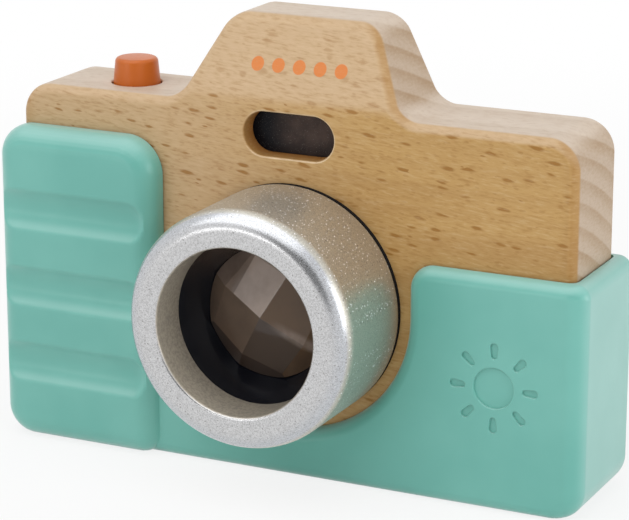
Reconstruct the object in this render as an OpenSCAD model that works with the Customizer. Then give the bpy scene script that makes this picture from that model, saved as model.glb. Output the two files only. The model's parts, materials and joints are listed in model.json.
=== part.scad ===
// Toy camera: a beech block in a silicone sleeve, with a turning prism lens and a sound button.
// Frame: +X to the camera's right as seen from the front, -Y to the front, +Z up.
// The origin is the middle of the flat underside. Sizes are in millimetres.

/* [Wooden body] */
// Width of the wooden block
wood_w = 123; // [118:1:140]
// Thickness of the block from front to back
wood_depth = 22; // [21:0.5:30]
// Height of the shoulders above the base
shoulder_z = 76; // [74:0.5:90]
// Height of the hump's top above the base
hump_z = 93.5; // [91:0.5:115]
// Width of the hump along its top
hump_top_w = 32; // [26:1:40]
// Width of the hump at its foot
hump_foot_w = 49.2; // [46:0.2:60]
// How far the hump's front leans back at its top
hump_lean = 7.5; // [2:0.5:9]
// Height over which the lean begins
lean_start = 3; // [1:0.5:4]
// Rounding of the block's edges
wood_edge_r = 2; // [1:0.25:3]
// Corner radius of the shoulders
shoulder_r = 6.5; // [4:0.5:10]
// Corner radius of the hump's top
hump_top_r = 6; // [4:0.5:8]
// Radius of the hollow at the hump's foot
hump_foot_r = 5.5; // [3:0.5:7]
// Corner radius at the bottom of the block
wood_bottom_r = 3.5; // [3:0.5:6]

/* [Silicone sleeve] */
// Wall over the ends of the block
sleeve_side = 3.5; // [2.5:0.25:5]
// Wall under the block
sleeve_bottom = 3.5; // [2.5:0.25:5]
// Wall over the front of the block
sleeve_front = 3; // [2.75:0.25:5]
// Wall over the back of the block
sleeve_back = 3; // [2.75:0.25:5]
// Height of the pad's top above the base
pad_z = 48; // [44:0.5:60]
// Height of the grip's top above the base
grip_z = 67.7; // [64:0.1:69]
// Distance of the grip's inner edge from the middle
grip_x = 28; // [27:0.5:32]
// How far the grip stands out from the wood
grip_proud = 6; // [5:0.25:9]
// Rounding of the sleeve's edges
sleeve_edge_r = 2.5; // [1.5:0.25:2.5]
// Rounding of the grip's front edge
grip_edge_r = 4.5; // [2:0.25:5]
// Corner radius of the sleeve's outline at the base
sleeve_corner_r = 6.5; // [5:0.5:8]
// Corner radius of the pad's inner top corner
pad_corner_r = 5; // [3:0.5:7]
// Corner radius of the grip's inner top corner
grip_corner_r = 8; // [5:0.5:12]
// Band of bare wood between the lens ring and the sleeve
ring_margin = 3.55; // [2:0.05:4]
// Width of the lip round the open back
lip_w = 7.5; // [6:0.5:12]
// Height of the lip along the bottom of the back
lip_z = 11; // [8:0.5:13]

/* [Finger scoops] */
// Number of scoops across the grip
scoop_count = 3; // [1:1:3]
// Height of the lowest scoop's middle
scoop_z = 15.3; // [12:0.1:17]
// Distance from one scoop to the next
scoop_pitch = 16.6; // [12:0.1:18]
// Height of one scoop
scoop_h = 8.5; // [5:0.25:11]
// Depth of a scoop at its middle
scoop_depth = 1.5; // [0.75:0.25:2]
// Plain strip between the scoops' ends and the grip's inner edge
scoop_margin = 5; // [4:0.5:10]

/* [Sun on the pad] */
// Height of the sun's middle
sun_z = 25.7; // [22:0.1:30]
// Diameter of the sun's disc
sun_d = 8.4; // [5:0.2:10]
// Number of rays
ray_count = 8; // [8:1:12]
// Length of one ray
ray_len = 3.4; // [2:0.2:4]
// Width of one ray
ray_w = 1.6; // [1:0.1:2]
// Gap between the disc and the rays
ray_gap = 1.6; // [1:0.1:2.5]
// Depth of the pressed sun
sun_depth = 0.6; // [0.3:0.1:1]

/* [Lens] */
// Distance of the lens from the camera's middle
lens_x = 1; // [-1:0.5:3]
// Height of the lens's middle
lens_z = 37; // [36:0.5:40]
// Outer diameter of the lens ring
ring_d = 48.5; // [47:0.5:51]
// Length of the lens ring
ring_len = 24.5; // [20:0.1:32]
// Width of the ring's front, from its opening to its outside
ring_wall = 7.25; // [7.25:0.25:9]
// Rounding of the ring's front edge
ring_edge_r = 4; // [2:0.25:5]
// Small chamfer round the opening
opening_chamfer = 0.8; // [0.4:0.1:1.2]
// Depth of the silver wall inside the opening
well_depth = 9.2; // [6:0.1:10]
// Depth of the dark funnel between the silver wall and the lens
funnel_depth = 6.8; // [4:0.1:7]
// Width of the ledges that the hub and the lens sit on
lens_ledge = 1.5; // [1:0.1:2]
// Thickness of the lens's rim
lens_t = 3; // [2:0.25:3]
// Height of the lens's tip above its rim
facet_h = 4.5; // [3:0.25:5]
// Number of large facets round the tip
facet_count = 4; // [3:1:6]
// Slope of the large facets
facet_slope = 15; // [10:1:18]
// Slope of the small facets round the edge
edge_slope = 32; // [28:1:40]
// Turn of the facets
facet_turn = 60; // [0:5:90]
// Thickness of the seal behind the lens
seal_t = 0.8; // [0.5:0.1:1]

/* [Lens bearing] */
// Step from the ring's opening in to the hub's shaft
shaft_step = 2; // [1.5:0.25:3]
// Wall of the hub's shaft
shaft_wall = 3; // [3:0.25:4]
// Thickness of the hub's flange
flange_t = 2; // [1.5:0.25:3]
// Width of the ring's wall left round the flange
flange_rim = 1.65; // [1.25:0.05:2]
// Thickness of the felt washer behind the ring
felt_t = 0.9; // [0.4:0.1:1.2]
// Thickness of the thrust washer at the rear
thrust_t = 0.5; // [0.4:0.1:1]
// Thickness of the retaining ring
retainer_t = 2; // [1.5:0.25:2.5]
// Depth of the rear bore from the back of the block
rear_bore_depth = 6; // [5.5:0.25:7]
// Reach of the rear bore past the shaft
bore_reach = 5; // [4:0.25:5.5]
// End play of the lens
end_play = 0.2; // [0.1:0.05:0.4]

/* [Eyepiece] */
// Step from the sight hole in to the eyepiece's hole
eyepiece_step = 4; // [3:0.25:6]
// Width of the ledge behind the eyepiece's window
eyepiece_ledge = 2; // [1:0.25:3]
// How far the eyepiece's rim reaches over the wood
eyepiece_rim = 1.5; // [1:0.25:2]
// Height of the eyepiece's rim above the wood
eyepiece_rise = 1.5; // [1:0.25:2]

/* [Viewfinder] */
// Distance of the viewfinder from the camera's middle
finder_x = 0.35; // [-2:0.05:2]
// Width of the viewfinder
finder_w = 20; // [16:0.5:24]
// Height of the viewfinder
finder_h = 9.1; // [8:0.1:10]
// Height of the viewfinder's middle above the base
finder_z = 70.7; // [68.5:0.1:71]
// Depth of the front window in the wood
finder_depth = 4.1; // [2:0.1:5]
// Depth of the rear window in the wood
finder_rear_depth = 1.5; // [1:0.1:3]
// Width of the ledge behind each window
finder_ledge = 1.2; // [0.8:0.1:1.6]
// Thickness of every flat window
window_t = 1.5; // [1:0.1:2]

/* [Shutter button] */
// Distance of the button from the camera's middle, as a share of the block's width
button_share = 0.3264; // [0.32:0.0004:0.336]
// Diameter of the button
button_d = 9.8; // [8:0.1:11]
// How far the button stands above the shoulder
button_rise = 5.2; // [4:0.1:7]
// Taper of the button's head on the radius
button_taper = 0.5; // [0.2:0.1:0.8]
// Rounding of the button's top edge
button_edge_r = 0.9; // [0.5:0.1:1.5]
// Travel of the button
button_travel = 2.5; // [1.5:0.1:3]
// Diameter of the button's neck
neck_d = 5; // [4:0.1:5.2]
// Diameter of the button's tip
tip_d = 3; // [2:0.1:3.4]
// Diameter of the stop washer
stop_d = 12.4; // [12:0.1:13]
// Thickness of the stop washer
stop_t = 1.2; // [1:0.1:2]
// Length of the spring at rest
spring_len = 6.35; // [5.5:0.05:7]
// Diameter of the spring's wire
spring_wire = 0.6; // [0.4:0.05:0.6]
// Mean diameter of the spring's coil
spring_d = 7.6; // [7:0.1:8.4]
// Number of turns
spring_turns = 4; // [3:0.5:4]

/* [Sound unit] */
// Width of the pocket in the wood
pocket_w = 20; // [19:0.5:22]
// Wood left in front of the pocket
pocket_front = 4.5; // [4:0.25:6]
// Height of the pocket's floor above the base
pocket_z = 20; // [19:0.5:20.5]
// Wall of the unit's case
case_wall = 1.4; // [1:0.1:1.6]
// Diameter of one button cell
cell_d = 11.6; // [9.5:0.1:11.6]
// Thickness of one button cell
cell_t = 5.4; // [3.6:0.1:5.4]
// Number of cells
cell_count = 2; // [1:1:2]
// Thickness of a battery contact
contact_t = 0.4; // [0.2:0.1:0.5]
// Width of a battery contact
contact_w = 7.8; // [5:0.1:8]
// Diameter of the speaker
speaker_d = 15; // [12:0.5:15.5]
// Depth of the speaker
speaker_t = 4; // [3:0.25:5]
// Diameter of the speaker's magnet
magnet_d = 10; // [7:0.5:11]
// Thickness of the circuit board
board_t = 1.2; // [0.8:0.1:1.6]
// Side of the switch's square body
switch_w = 6.2; // [5:0.1:7]
// Height of the switch's body
switch_h = 3.5; // [3:0.1:4]
// Diameter of the switch's plunger
plunger_d = 3.5; // [2.5:0.1:4]
// Height of the plunger above the switch's body
plunger_h = 2.9; // [2:0.1:3.2]
// Thickness of the cover on the back
cover_t = 2; // [1.8:0.1:2.5]
// Reach of the cover past the pocket at each side
cover_side = 2.5; // [2:0.25:3]
// Reach of the cover past the pocket at top and bottom
cover_end = 6; // [5.5:0.25:6]
// Thickness of the battery door
door_t = 1; // [0.8:0.1:1.2]
// Lap of the battery door over the cover
door_lap = 0.7; // [0.5:0.1:0.8]
// Diameter of a sound hole
sound_hole_d = 1.4; // [1:0.1:1.8]
// Diameter of the ring of sound holes
sound_ring_d = 7.5; // [6:0.5:9]

/* [Fasteners] */
// Diameter of the small screws
screw_d = 1.6; // [1.4:0.1:1.8]
// Diameter of a screw's head
screw_head_d = 3; // [2.6:0.1:3.2]
// Length of the screws
screw_len = 7; // [6:0.5:8]

/* [Fits] */
// Radial running fit of pieces that turn or slide
running_fit = 0.1; // [0.05:0.01:0.1]
// Clearance of fixed pieces in their seats
seat_fit = 0.1; // [0.05:0.05:0.2]
// Loose clearance round the sound unit
loose_fit = 0.3; // [0.2:0.05:0.4]

/* [Hidden] */

// Round pieces are smooth at this number of sides
$fn = 96;
// Steps of a small and of a large rounded corner, and of a rounded edge
corner_steps = 6;
arc_steps = 18;
edge_steps = 5;
large_r = 15;
// Sides of the scoops' and the sun's rounds, and of a ray's ends
scoop_sides = 40;
ray_sides = 20;
// Width of a ray's inner end as a share of its outer end
ray_taper = 0.75;
// Steps of the spring's wire in one turn, and sides of the wire
spring_steps = 14;
wire_sides = 8;
// Room round the retaining ring, and room behind the board and the cells' walls
retainer_gap = 1;
board_gap = 1;
// Thickness of the ledges under the board
ledge_t = 1;
// Overshoot of a cut past the face that it opens
cut = 1;

// Faces of the block
wood_front_y = -wood_depth / 2;
wood_back_y = wood_depth / 2;
wood_bottom_z = sleeve_bottom;

// Outer faces of the sleeve
sleeve_half_w = wood_w / 2 + sleeve_side;
sleeve_front_y = wood_front_y - sleeve_front;
sleeve_back_y = wood_back_y + sleeve_back;
grip_front_y = wood_front_y - grip_proud;
// The saddle round the lens is concentric with it at the pad and tucks in behind the grip
saddle_r = ring_d / 2 + ring_margin;
saddle_tuck = 1;
pad_x = lens_x + saddle_r;
band_z = lens_z - saddle_r;
sun_x = (pad_x + sleeve_half_w) / 2;
// A scoop is a shallow slice of a round bar
scoop_r = (scoop_h * scoop_h / 4 + scoop_depth * scoop_depth) / (2 * scoop_depth);

// Along the lens's axis, measured forwards from the middle of the block
felt_front = wood_depth / 2 + felt_t;
ring_back = felt_front + running_fit;
ring_front = ring_back + ring_len;
opening_r = ring_d / 2 - ring_wall;
shaft_r = opening_r - shaft_step;
sight_r = shaft_r - shaft_wall;
rear_bore_r = shaft_r + bore_reach;
eyepiece_r = sight_r - eyepiece_step;
hub_front = ring_front - well_depth;
lens_rim = hub_front - funnel_depth;
lens_back = lens_rim - lens_t;
seal_back = lens_back - seal_t;
hub_seat_r = opening_r + lens_ledge;
lens_seat_r = sight_r + lens_ledge;
flange_r = ring_d / 2 - flange_rim;
hub_screw_r = (hub_seat_r + flange_r) / 2;
rear_step = rear_bore_depth - wood_depth / 2;
shaft_end = rear_step - thrust_t - end_play;
retainer_back = shaft_end - retainer_t;
retainer_r = rear_bore_r - retainer_gap;
retainer_screw_r = (shaft_r + sight_r) / 2;
eyepiece_plug_end = retainer_back - loose_fit;
eyepiece_window_r = eyepiece_r + eyepiece_ledge;

// Up the sound unit, from the pocket's floor to the button
unit_x = -button_share * wood_w;
pocket_depth = wood_depth - pocket_front;
case_bottom_z = pocket_z + loose_fit;
case_half_w = pocket_w / 2 - loose_fit;
case_front_y = wood_front_y + pocket_front + loose_fit;
cover_inner_y = wood_back_y - cover_t;
cell_z = case_bottom_z + case_wall + loose_fit + cell_d / 2;
cell_y = case_front_y + case_wall + loose_fit + cell_d / 2;
cells_half_w = cell_count * cell_t / 2;
speaker_z = cell_z + cell_d / 2 + loose_fit + speaker_d / 2;
board_z = speaker_z + speaker_d / 2 + seat_fit + ledge_t;
switch_z = board_z + board_t;
plunger_z = switch_z + switch_h + plunger_h;
case_top_z = plunger_z + case_wall / 2;
stop_bottom_z = case_top_z + spring_len;
stop_top_z = stop_bottom_z + stop_t;
pocket_top_z = stop_top_z + seat_fit;
tip_z = plunger_z + button_travel + seat_fit;
cover_half_w = pocket_w / 2 + cover_side;
cover_bottom_z = pocket_z - cover_end;
cover_top_z = pocket_top_z + cover_end;
cover_screw_inset = cover_end / 2;
cover_screw_x = cover_half_w - cover_screw_inset;
door_half_w = cells_half_w + contact_t + door_lap;
door_top_z = cell_z + cell_d / 2 + door_lap;
door_screw_z = pocket_z - cover_end / 2;
door_bottom_z = door_screw_z - screw_head_d / 2 - door_lap;

// Outlines, as corners [x, z, r] anticlockwise seen from the front, r below zero in a hollow corner
wood_corners = [
  [wood_w / 2, wood_bottom_z, wood_bottom_r],
  [wood_w / 2, shoulder_z, shoulder_r],
  [hump_foot_w / 2, shoulder_z, -hump_foot_r],
  [hump_top_w / 2, hump_z, hump_top_r],
  [-hump_top_w / 2, hump_z, hump_top_r],
  [-hump_foot_w / 2, shoulder_z, -hump_foot_r],
  [-wood_w / 2, shoulder_z, shoulder_r],
  [-wood_w / 2, wood_bottom_z, wood_bottom_r]];
sleeve_corners = [
  [sleeve_half_w, 0, sleeve_corner_r],
  [sleeve_half_w, pad_z, sleeve_edge_r + seat_fit],
  [pad_x, pad_z, pad_corner_r],
  [pad_x, band_z, -saddle_r],
  [-grip_x - saddle_tuck, band_z, -saddle_r],
  [-grip_x - saddle_tuck, grip_z, grip_corner_r],
  [-sleeve_half_w, grip_z, sleeve_corner_r],
  [-sleeve_half_w, 0, sleeve_corner_r]];
grip_corners = [
  [-sleeve_half_w, 0, sleeve_corner_r],
  [-grip_x, 0, grip_edge_r + seat_fit],
  [-grip_x, grip_z, grip_corner_r],
  [-sleeve_half_w, grip_z, sleeve_corner_r]];
cavity_corners = [
  [wood_w / 2 + seat_fit, wood_bottom_z - seat_fit, wood_bottom_r + seat_fit],
  [wood_w / 2 + seat_fit, hump_z, wood_bottom_r],
  [-wood_w / 2 - seat_fit, hump_z, wood_bottom_r],
  [-wood_w / 2 - seat_fit, wood_bottom_z - seat_fit, wood_bottom_r + seat_fit]];
back_wall_corners = [
  [sleeve_half_w, 0, sleeve_corner_r],
  [sleeve_half_w, pad_z, sleeve_edge_r + seat_fit],
  [-sleeve_half_w, pad_z, sleeve_edge_r + seat_fit],
  [-sleeve_half_w, 0, sleeve_corner_r]];
back_corners = [
  [sleeve_half_w - lip_w, lip_z, wood_bottom_r],
  [sleeve_half_w - lip_w, hump_z, wood_bottom_r],
  [-sleeve_half_w + lip_w, hump_z, wood_bottom_r],
  [-sleeve_half_w + lip_w, lip_z, wood_bottom_r]];

// Direction from one corner to the next, and the same turned to the left
function heading(a, b) = [b.x - a.x, b.y - a.y] / norm([b.x - a.x, b.y - a.y]);
function turned_left(v) = [-v.y, v.x];
function steps_for(r) = abs(r) > large_r ? arc_steps : corner_steps;

// Points round one corner, with the outline moved inwards by inset
function corner_points(before, corner, after, inset) =
  let (
    n1 = turned_left(heading(before, corner)),
    n2 = turned_left(heading(corner, after)),
    r = corner[2],
    centre = [corner.x, corner.y] + r * (n1 + n2) / (1 + n1 * n2),
    start = atan2(n1.y, n1.x),
    turn = atan2(n1.x * n2.y - n1.y * n2.x, n1 * n2),
    steps = steps_for(r)
  )
  [for (i = [0:steps]) let (a = start + turn * i / steps) centre - (r - inset) * [cos(a), sin(a)]];

function outline(corners, inset) =
  let (n = len(corners))
  [for (i = [0:n - 1]) each corner_points(corners[(i + n - 1) % n], corners[i], corners[(i + 1) % n], inset)];

// Rings [inset, y] that round an edge towards the front or the back, or flare a cut at the back
function front_edge(y, r) =
  [for (k = [0:edge_steps]) let (a = 90 * k / edge_steps) [r * (1 - sin(a)), y + r * (1 - cos(a))]];
function back_edge(y, r) =
  [for (k = [edge_steps:-1:0]) let (a = 90 * k / edge_steps) [r * (1 - sin(a)), y - r * (1 - cos(a))]];
function back_flare(y, r) =
  [for (k = [0:edge_steps]) let (a = 90 * k / edge_steps) [-r * (1 - cos(a)), y - r * (1 - sin(a))]];

// Triangles of a flat outline, found by clipping one ear after another
function area2(a, b, c) = (b.x - a.x) * (c.y - a.y) - (b.y - a.y) * (c.x - a.x);
function holds(a, b, c, p) = area2(a, b, p) >= 0 && area2(b, c, p) >= 0 && area2(c, a, p) >= 0;
function is_ear(pts, ids, i) =
  let (n = len(ids), a = ids[(i + n - 1) % n], b = ids[i], c = ids[(i + 1) % n])
  area2(pts[a], pts[b], pts[c]) > 0
  && len([for (k = ids) if (k != a && k != b && k != c && holds(pts[a], pts[b], pts[c], pts[k])) k]) == 0;
function first_ear(pts, ids, i = 0) = is_ear(pts, ids, i) ? i : first_ear(pts, ids, i + 1);
function clip_ears(pts, ids) =
  len(ids) == 3 ? [ids] :
  let (n = len(ids), i = first_ear(pts, ids))
  concat(
    [[ids[(i + n - 1) % n], ids[i], ids[(i + 1) % n]]],
    clip_ears(pts, [for (k = [0:n - 1]) if (k != i) ids[k]]));

// Triangles between neighbouring rings of n points each
function side_triangles(n, rings) =
  [for (j = [0:rings - 2]) for (i = [0:n - 1])
    let (a = j * n + i, b = j * n + (i + 1) % n, c = b + n, d = a + n)
    each [[a, b, c], [a, c, d]]];
function front_cap(tris) = [for (t = tris) [t[2], t[1], t[0]]];
function back_cap(tris, shift) = [for (t = tris) t + shift * [1, 1, 1]];

// A slab whose outline follows the rings from front to back
module ringed_slab(corners, rings) {
  n = len(outline(corners, 0));
  flat = outline(corners, rings[0][0]);
  cap = clip_ears(flat, [for (i = [0:n - 1]) i]);
  polyhedron(
    points = [for (ring = rings) for (p = outline(corners, ring[0])) [p.x, ring[1], p.y]],
    faces = concat(
      front_cap(cap), side_triangles(n, len(rings)), back_cap(cap, n * (len(rings) - 1))));
}

// How far the block's front leans back at height z
function lean_at(z) =
  let (
    rise = hump_z - shoulder_z,
    t = max(z - shoulder_z, 0),
    climb = t < lean_start ? t * t / (2 * lean_start) : t - lean_start / 2
  )
  hump_lean * climb / (rise - lean_start / 2);

// Flat cap of the block: a fan up to the shoulders and rungs across the hump
function block_cap(n) =
  let (
    foot = 2 * (corner_steps + 1),
    low = concat([for (i = [0:foot]) i], [for (i = [n - 1 - foot:n - 1]) i])
  )
  concat(
    [for (i = [1:len(low) - 2]) [low[0], low[i], low[i + 1]]],
    [for (i = [foot:n / 2 - 2]) each [[i, i + 1, n - 2 - i], [i, n - 2 - i, n - 1 - i]]]);

// The block before it is drilled
module block() {
  front = front_edge(wood_front_y, wood_edge_r);
  back = back_edge(wood_back_y, wood_edge_r);
  n = len(outline(wood_corners, 0));
  cap = block_cap(n);
  front_points = [for (ring = front) for (p = outline(wood_corners, ring[0]))
    [p.x, ring[1] + lean_at(p.y), p.y]];
  back_points = [for (ring = back) for (p = outline(wood_corners, ring[0])) [p.x, ring[1], p.y]];
  polyhedron(
    points = concat(front_points, back_points),
    faces = concat(
      front_cap(cap),
      side_triangles(n, len(front) + len(back)),
      back_cap(cap, n * (len(front) + len(back) - 1))));
}

// Places a shape on the lens's axis, with its own +Z to the front
module on_lens() translate([lens_x, 0, lens_z]) rotate([90, 0, 0]) children();

// Places a shape at a point of the back, with its own +Z to the back
module on_back(x, z) translate([x, 0, z]) rotate([-90, 0, 0]) children();

module disc(r, from, to) translate([0, 0, from]) cylinder(r = r, h = to - from);

module tube(outer_r, inner_r, from, to) {
  difference() {
    disc(outer_r, from, to);
    disc(inner_r, from - cut, to + cut);
  }
}

module box(low, high) translate(low) cube(high - low);

// A bar with round ends on the viewfinder's axis, between two depths
module slot(w, h, from_y, to_y) {
  half = (w - h) / 2;
  translate([finder_x, 0, finder_z]) rotate([90, 0, 0]) {
    for (x = [-half, half]) translate([x, 0, 0]) disc(h / 2, -to_y, -from_y);
    box([-half, -h / 2, -to_y], [half, h / 2, -from_y]);
  }
}

// A countersunk screw: its head's top is at the given height and it points down
module screw(top, gap = 0) {
  r = screw_d / 2 + gap;
  head_r = screw_head_d / 2 + gap;
  disc(r, top - screw_len - gap, top);
  translate([0, 0, top - (head_r - r)]) cylinder(r1 = r, r2 = head_r, h = head_r - r + gap);
}

module hub_screw_places() for (a = [45:90:315]) rotate(a) translate([hub_screw_r, 0, 0]) children();
module retainer_screw_places() for (a = [0:90:270]) rotate(a) translate([retainer_screw_r, 0, 0]) children();
module cover_screw_places() {
  for (x = [-cover_screw_x, cover_screw_x])
    for (z = [cover_bottom_z + cover_screw_inset, cover_top_z - cover_screw_inset])
      on_back(unit_x + x, z) children();
}

// Beech block with its bores, pocket and windows' seats
module wood_body() {
  color([0.83, 0.68, 0.50]) difference() {
    block();
    on_lens() disc(shaft_r + running_fit, -wood_depth, wood_depth);
    on_lens() disc(rear_bore_r, -wood_depth, rear_step);
    slot(finder_w - 2 * finder_ledge, finder_h - 2 * finder_ledge, -wood_depth, wood_depth);
    slot(finder_w, finder_h, -wood_depth, wood_front_y + finder_depth + window_t);
    slot(finder_w, finder_h, wood_back_y - finder_rear_depth - window_t, wood_depth);
    translate([unit_x, 0, 0]) disc(button_d / 2 + running_fit, pocket_top_z - cut, hump_z);
    box(
      [unit_x - pocket_w / 2, wood_back_y - pocket_depth, pocket_z],
      [unit_x + pocket_w / 2, wood_depth, pocket_top_z]);
    box(
      [unit_x - cover_half_w, cover_inner_y, cover_bottom_z],
      [unit_x + cover_half_w, wood_depth, cover_top_z]);
    cover_screw_places() screw(wood_back_y, seat_fit / 2);
    on_back(unit_x, door_screw_z) screw(wood_back_y, seat_fit / 2);
  }
}

// One scoop across the grip, open at the outer side
module scoop(z) {
  y = grip_front_y - scoop_r + scoop_depth;
  hull() {
    for (x = [-grip_x - scoop_margin - scoop_h / 2, -sleeve_half_w - scoop_r])
      translate([x, y, z]) sphere(scoop_r, $fn = scoop_sides);
  }
}

// One ray of the sun, widest at its outer end
module ray(angle) {
  from = sun_d / 2 + ray_gap + ray_w / 2;
  to = from + ray_len - ray_w;
  rotate(angle) hull() {
    translate([from, 0, -sun_depth]) cylinder(d = ray_w * ray_taper, h = sun_depth + cut, $fn = ray_sides);
    translate([to, 0, -sun_depth]) cylinder(d = ray_w, h = sun_depth + cut, $fn = ray_sides);
  }
}

// A plain sun pressed into the pad
module sun() {
  translate([sun_x, sleeve_front_y, sun_z]) rotate([90, 0, 0]) {
    translate([0, 0, -sun_depth]) cylinder(d = sun_d, h = sun_depth + cut, $fn = scoop_sides);
    for (i = [0:ray_count - 1]) ray(360 * i / ray_count);
  }
}

// One moulded sleeve: grip, bottom band, pad and the lip round the back
module silicone_sleeve() {
  color([0.44, 0.71, 0.66]) difference() {
    union() {
      ringed_slab(
        sleeve_corners,
        concat(front_edge(sleeve_front_y, sleeve_edge_r), back_edge(sleeve_back_y, sleeve_edge_r)));
      ringed_slab(grip_corners, concat(front_edge(grip_front_y, grip_edge_r), [[0, 0]]));
      ringed_slab(back_wall_corners, concat([[0, 0]], back_edge(sleeve_back_y, sleeve_edge_r)));
    }
    ringed_slab(
      cavity_corners,
      concat(
        front_edge(wood_front_y - seat_fit, wood_edge_r),
        back_edge(wood_back_y + seat_fit, wood_edge_r)));
    ringed_slab(
      back_corners,
      concat(
        [[0, 0]],
        back_flare(sleeve_back_y, sleeve_edge_r / 2),
        [[-sleeve_edge_r / 2, sleeve_back_y + cut]]));
    for (i = [0:scoop_count - 1]) scoop(scoop_z + i * scoop_pitch);
    sun();
  }
}

// Half section of the lens ring, out from its axis and forwards
module ring_section() {
  r = ring_d / 2;
  hole_r = opening_r;
  difference() {
    union() {
      translate([hole_r, ring_back]) square([r - hole_r, ring_len - ring_edge_r]);
      translate([hole_r, ring_back]) square([r - ring_edge_r - hole_r, ring_len]);
      translate([r - ring_edge_r, ring_front - ring_edge_r]) circle(ring_edge_r);
    }
    translate([0, ring_back - cut]) square([hub_seat_r, hub_front - ring_back + cut]);
    translate([0, ring_back - cut]) square([flange_r + seat_fit, flange_t + seat_fit + cut]);
    polygon([
      [hole_r - cut, ring_front + cut],
      [hole_r - cut, ring_front - opening_chamfer - cut],
      [hole_r + opening_chamfer + cut, ring_front + cut]]);
  }
}

// Silver ring that turns round the lens
module lens_ring() {
  color([0.78, 0.78, 0.79]) on_lens() difference() {
    rotate_extrude() ring_section();
    hub_screw_places() disc(screw_d / 2 + seat_fit / 2, ring_back, ring_back + screw_len + cut);
  }
}

// A point of flat facets above the lens's rim, at the slope given
module facets(count, slope, tip) {
  base_r = (tip + lens_t) / tan(slope) / cos(180 / count);
  translate([0, 0, lens_back]) cylinder(r1 = base_r, r2 = 0, h = tip + lens_t, $fn = count);
}

// Smoked lens cut with large facets round its tip and small ones round its edge
module prism_lens() {
  r = lens_seat_r - seat_fit;
  color([0.35, 0.29, 0.25]) on_lens() rotate(facet_turn) intersection() {
    disc(r, lens_back, lens_rim + facet_h);
    facets(facet_count, facet_slope, facet_h);
    facets(2 * facet_count, edge_slope, r * tan(edge_slope));
  }
}

// Soft seal between the lens and the hub
module lens_seal() {
  color([0.15, 0.15, 0.16]) on_lens() tube(lens_seat_r - seat_fit, sight_r, seal_back, lens_back);
}

// Hub: a funnel in front of the lens, a flange under the ring and a hollow shaft through the block
module lens_hub() {
  color([0.20, 0.20, 0.21]) on_lens() difference() {
    union() {
      disc(hub_seat_r - seat_fit, ring_back, hub_front);
      disc(flange_r, ring_back, ring_back + flange_t);
      disc(shaft_r, shaft_end, ring_back + flange_t);
    }
    disc(sight_r, shaft_end - cut, seal_back + cut);
    disc(lens_seat_r, seal_back, lens_rim);
    translate([0, 0, lens_rim]) cylinder(r1 = lens_seat_r, r2 = opening_r, h = funnel_depth);
    hub_screw_places() mirror([0, 0, 1]) screw(-ring_back, seat_fit / 2);
    retainer_screw_places() mirror([0, 0, 1]) screw(-retainer_back, seat_fit / 2);
  }
}

// Four screws that hold the hub to the ring
module hub_screws() {
  color([0.70, 0.70, 0.72]) on_lens() hub_screw_places() mirror([0, 0, 1]) screw(-ring_back);
}

// Dark felt that the ring turns on
module felt_washer() {
  color([0.10, 0.10, 0.11]) on_lens()
    tube(ring_d / 2 - running_fit, shaft_r + seat_fit + running_fit, wood_depth / 2, felt_front);
}

// Slippery washer between the block and the retaining ring
module thrust_washer() {
  color([0.92, 0.92, 0.90]) on_lens()
    tube(retainer_r, shaft_r + seat_fit + running_fit, rear_step - thrust_t, rear_step);
}

// Ring screwed to the end of the shaft, which keeps the lens in the block
module retaining_ring() {
  color([0.20, 0.20, 0.21]) on_lens() difference() {
    tube(retainer_r, sight_r, retainer_back, shaft_end);
    retainer_screw_places() mirror([0, 0, 1]) screw(-retainer_back, seat_fit / 2);
  }
}

// Four screws that hold the retaining ring
module retainer_screws() {
  color([0.70, 0.70, 0.72]) on_lens() retainer_screw_places() mirror([0, 0, 1]) screw(-retainer_back);
}

// Half section of the eyepiece's rim
module eyepiece_section() {
  hole_r = eyepiece_r;
  plug_r = rear_bore_r - seat_fit;
  rim_r = rear_bore_r + eyepiece_rim;
  back = -wood_depth / 2;
  edge = eyepiece_rise / 2;
  difference() {
    union() {
      translate([hole_r, back]) square([plug_r - hole_r, eyepiece_plug_end - back]);
      translate([hole_r, back - edge]) square([rim_r - hole_r, edge]);
      translate([hole_r, back - eyepiece_rise]) square([rim_r - edge - hole_r, eyepiece_rise]);
      intersection() {
        translate([rim_r - edge, back - edge]) circle(edge);
        translate([rim_r - edge, back - eyepiece_rise]) square(edge);
      }
    }
    translate([0, eyepiece_plug_end - window_t]) square([eyepiece_window_r, window_t + cut]);
  }
}

// Rim round the sight hole on the back
module eyepiece_rim() {
  color([0.20, 0.20, 0.21]) on_lens() rotate_extrude() eyepiece_section();
}

// Clear window behind the eyepiece
module eyepiece_window() {
  color([0.75, 0.78, 0.80, 0.6]) on_lens()
    disc(eyepiece_window_r - seat_fit, eyepiece_plug_end - window_t, eyepiece_plug_end);
}

module finder_window(from_y) {
  slot(finder_w - 2 * seat_fit, finder_h - 2 * seat_fit, from_y, from_y + window_t);
}

// Smoked window in the front of the viewfinder
module viewfinder_front_window() {
  color([0.30, 0.26, 0.23]) finder_window(wood_front_y + finder_depth);
}

// Smoked window in the back of the viewfinder
module viewfinder_rear_window() {
  color([0.30, 0.26, 0.23]) finder_window(wood_back_y - finder_rear_depth - window_t);
}

// Half section of the button, out from its axis and up
module button_section() {
  r = button_d / 2;
  top = shoulder_z + button_rise;
  top_r = r - button_taper;
  edge = button_edge_r;
  polygon([[0, stop_top_z], [r, stop_top_z], [r, shoulder_z], [top_r, top - edge], [0, top - edge]]);
  translate([0, top - edge]) square([top_r - edge, edge]);
  intersection() {
    translate([top_r - edge, top - edge]) circle(edge);
    translate([0, top - edge]) square([top_r, edge]);
  }
  translate([0, stop_bottom_z]) square([neck_d / 2, stop_t + cut]);
  translate([0, tip_z]) square([tip_d / 2, stop_bottom_z - tip_z + cut]);
}

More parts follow.
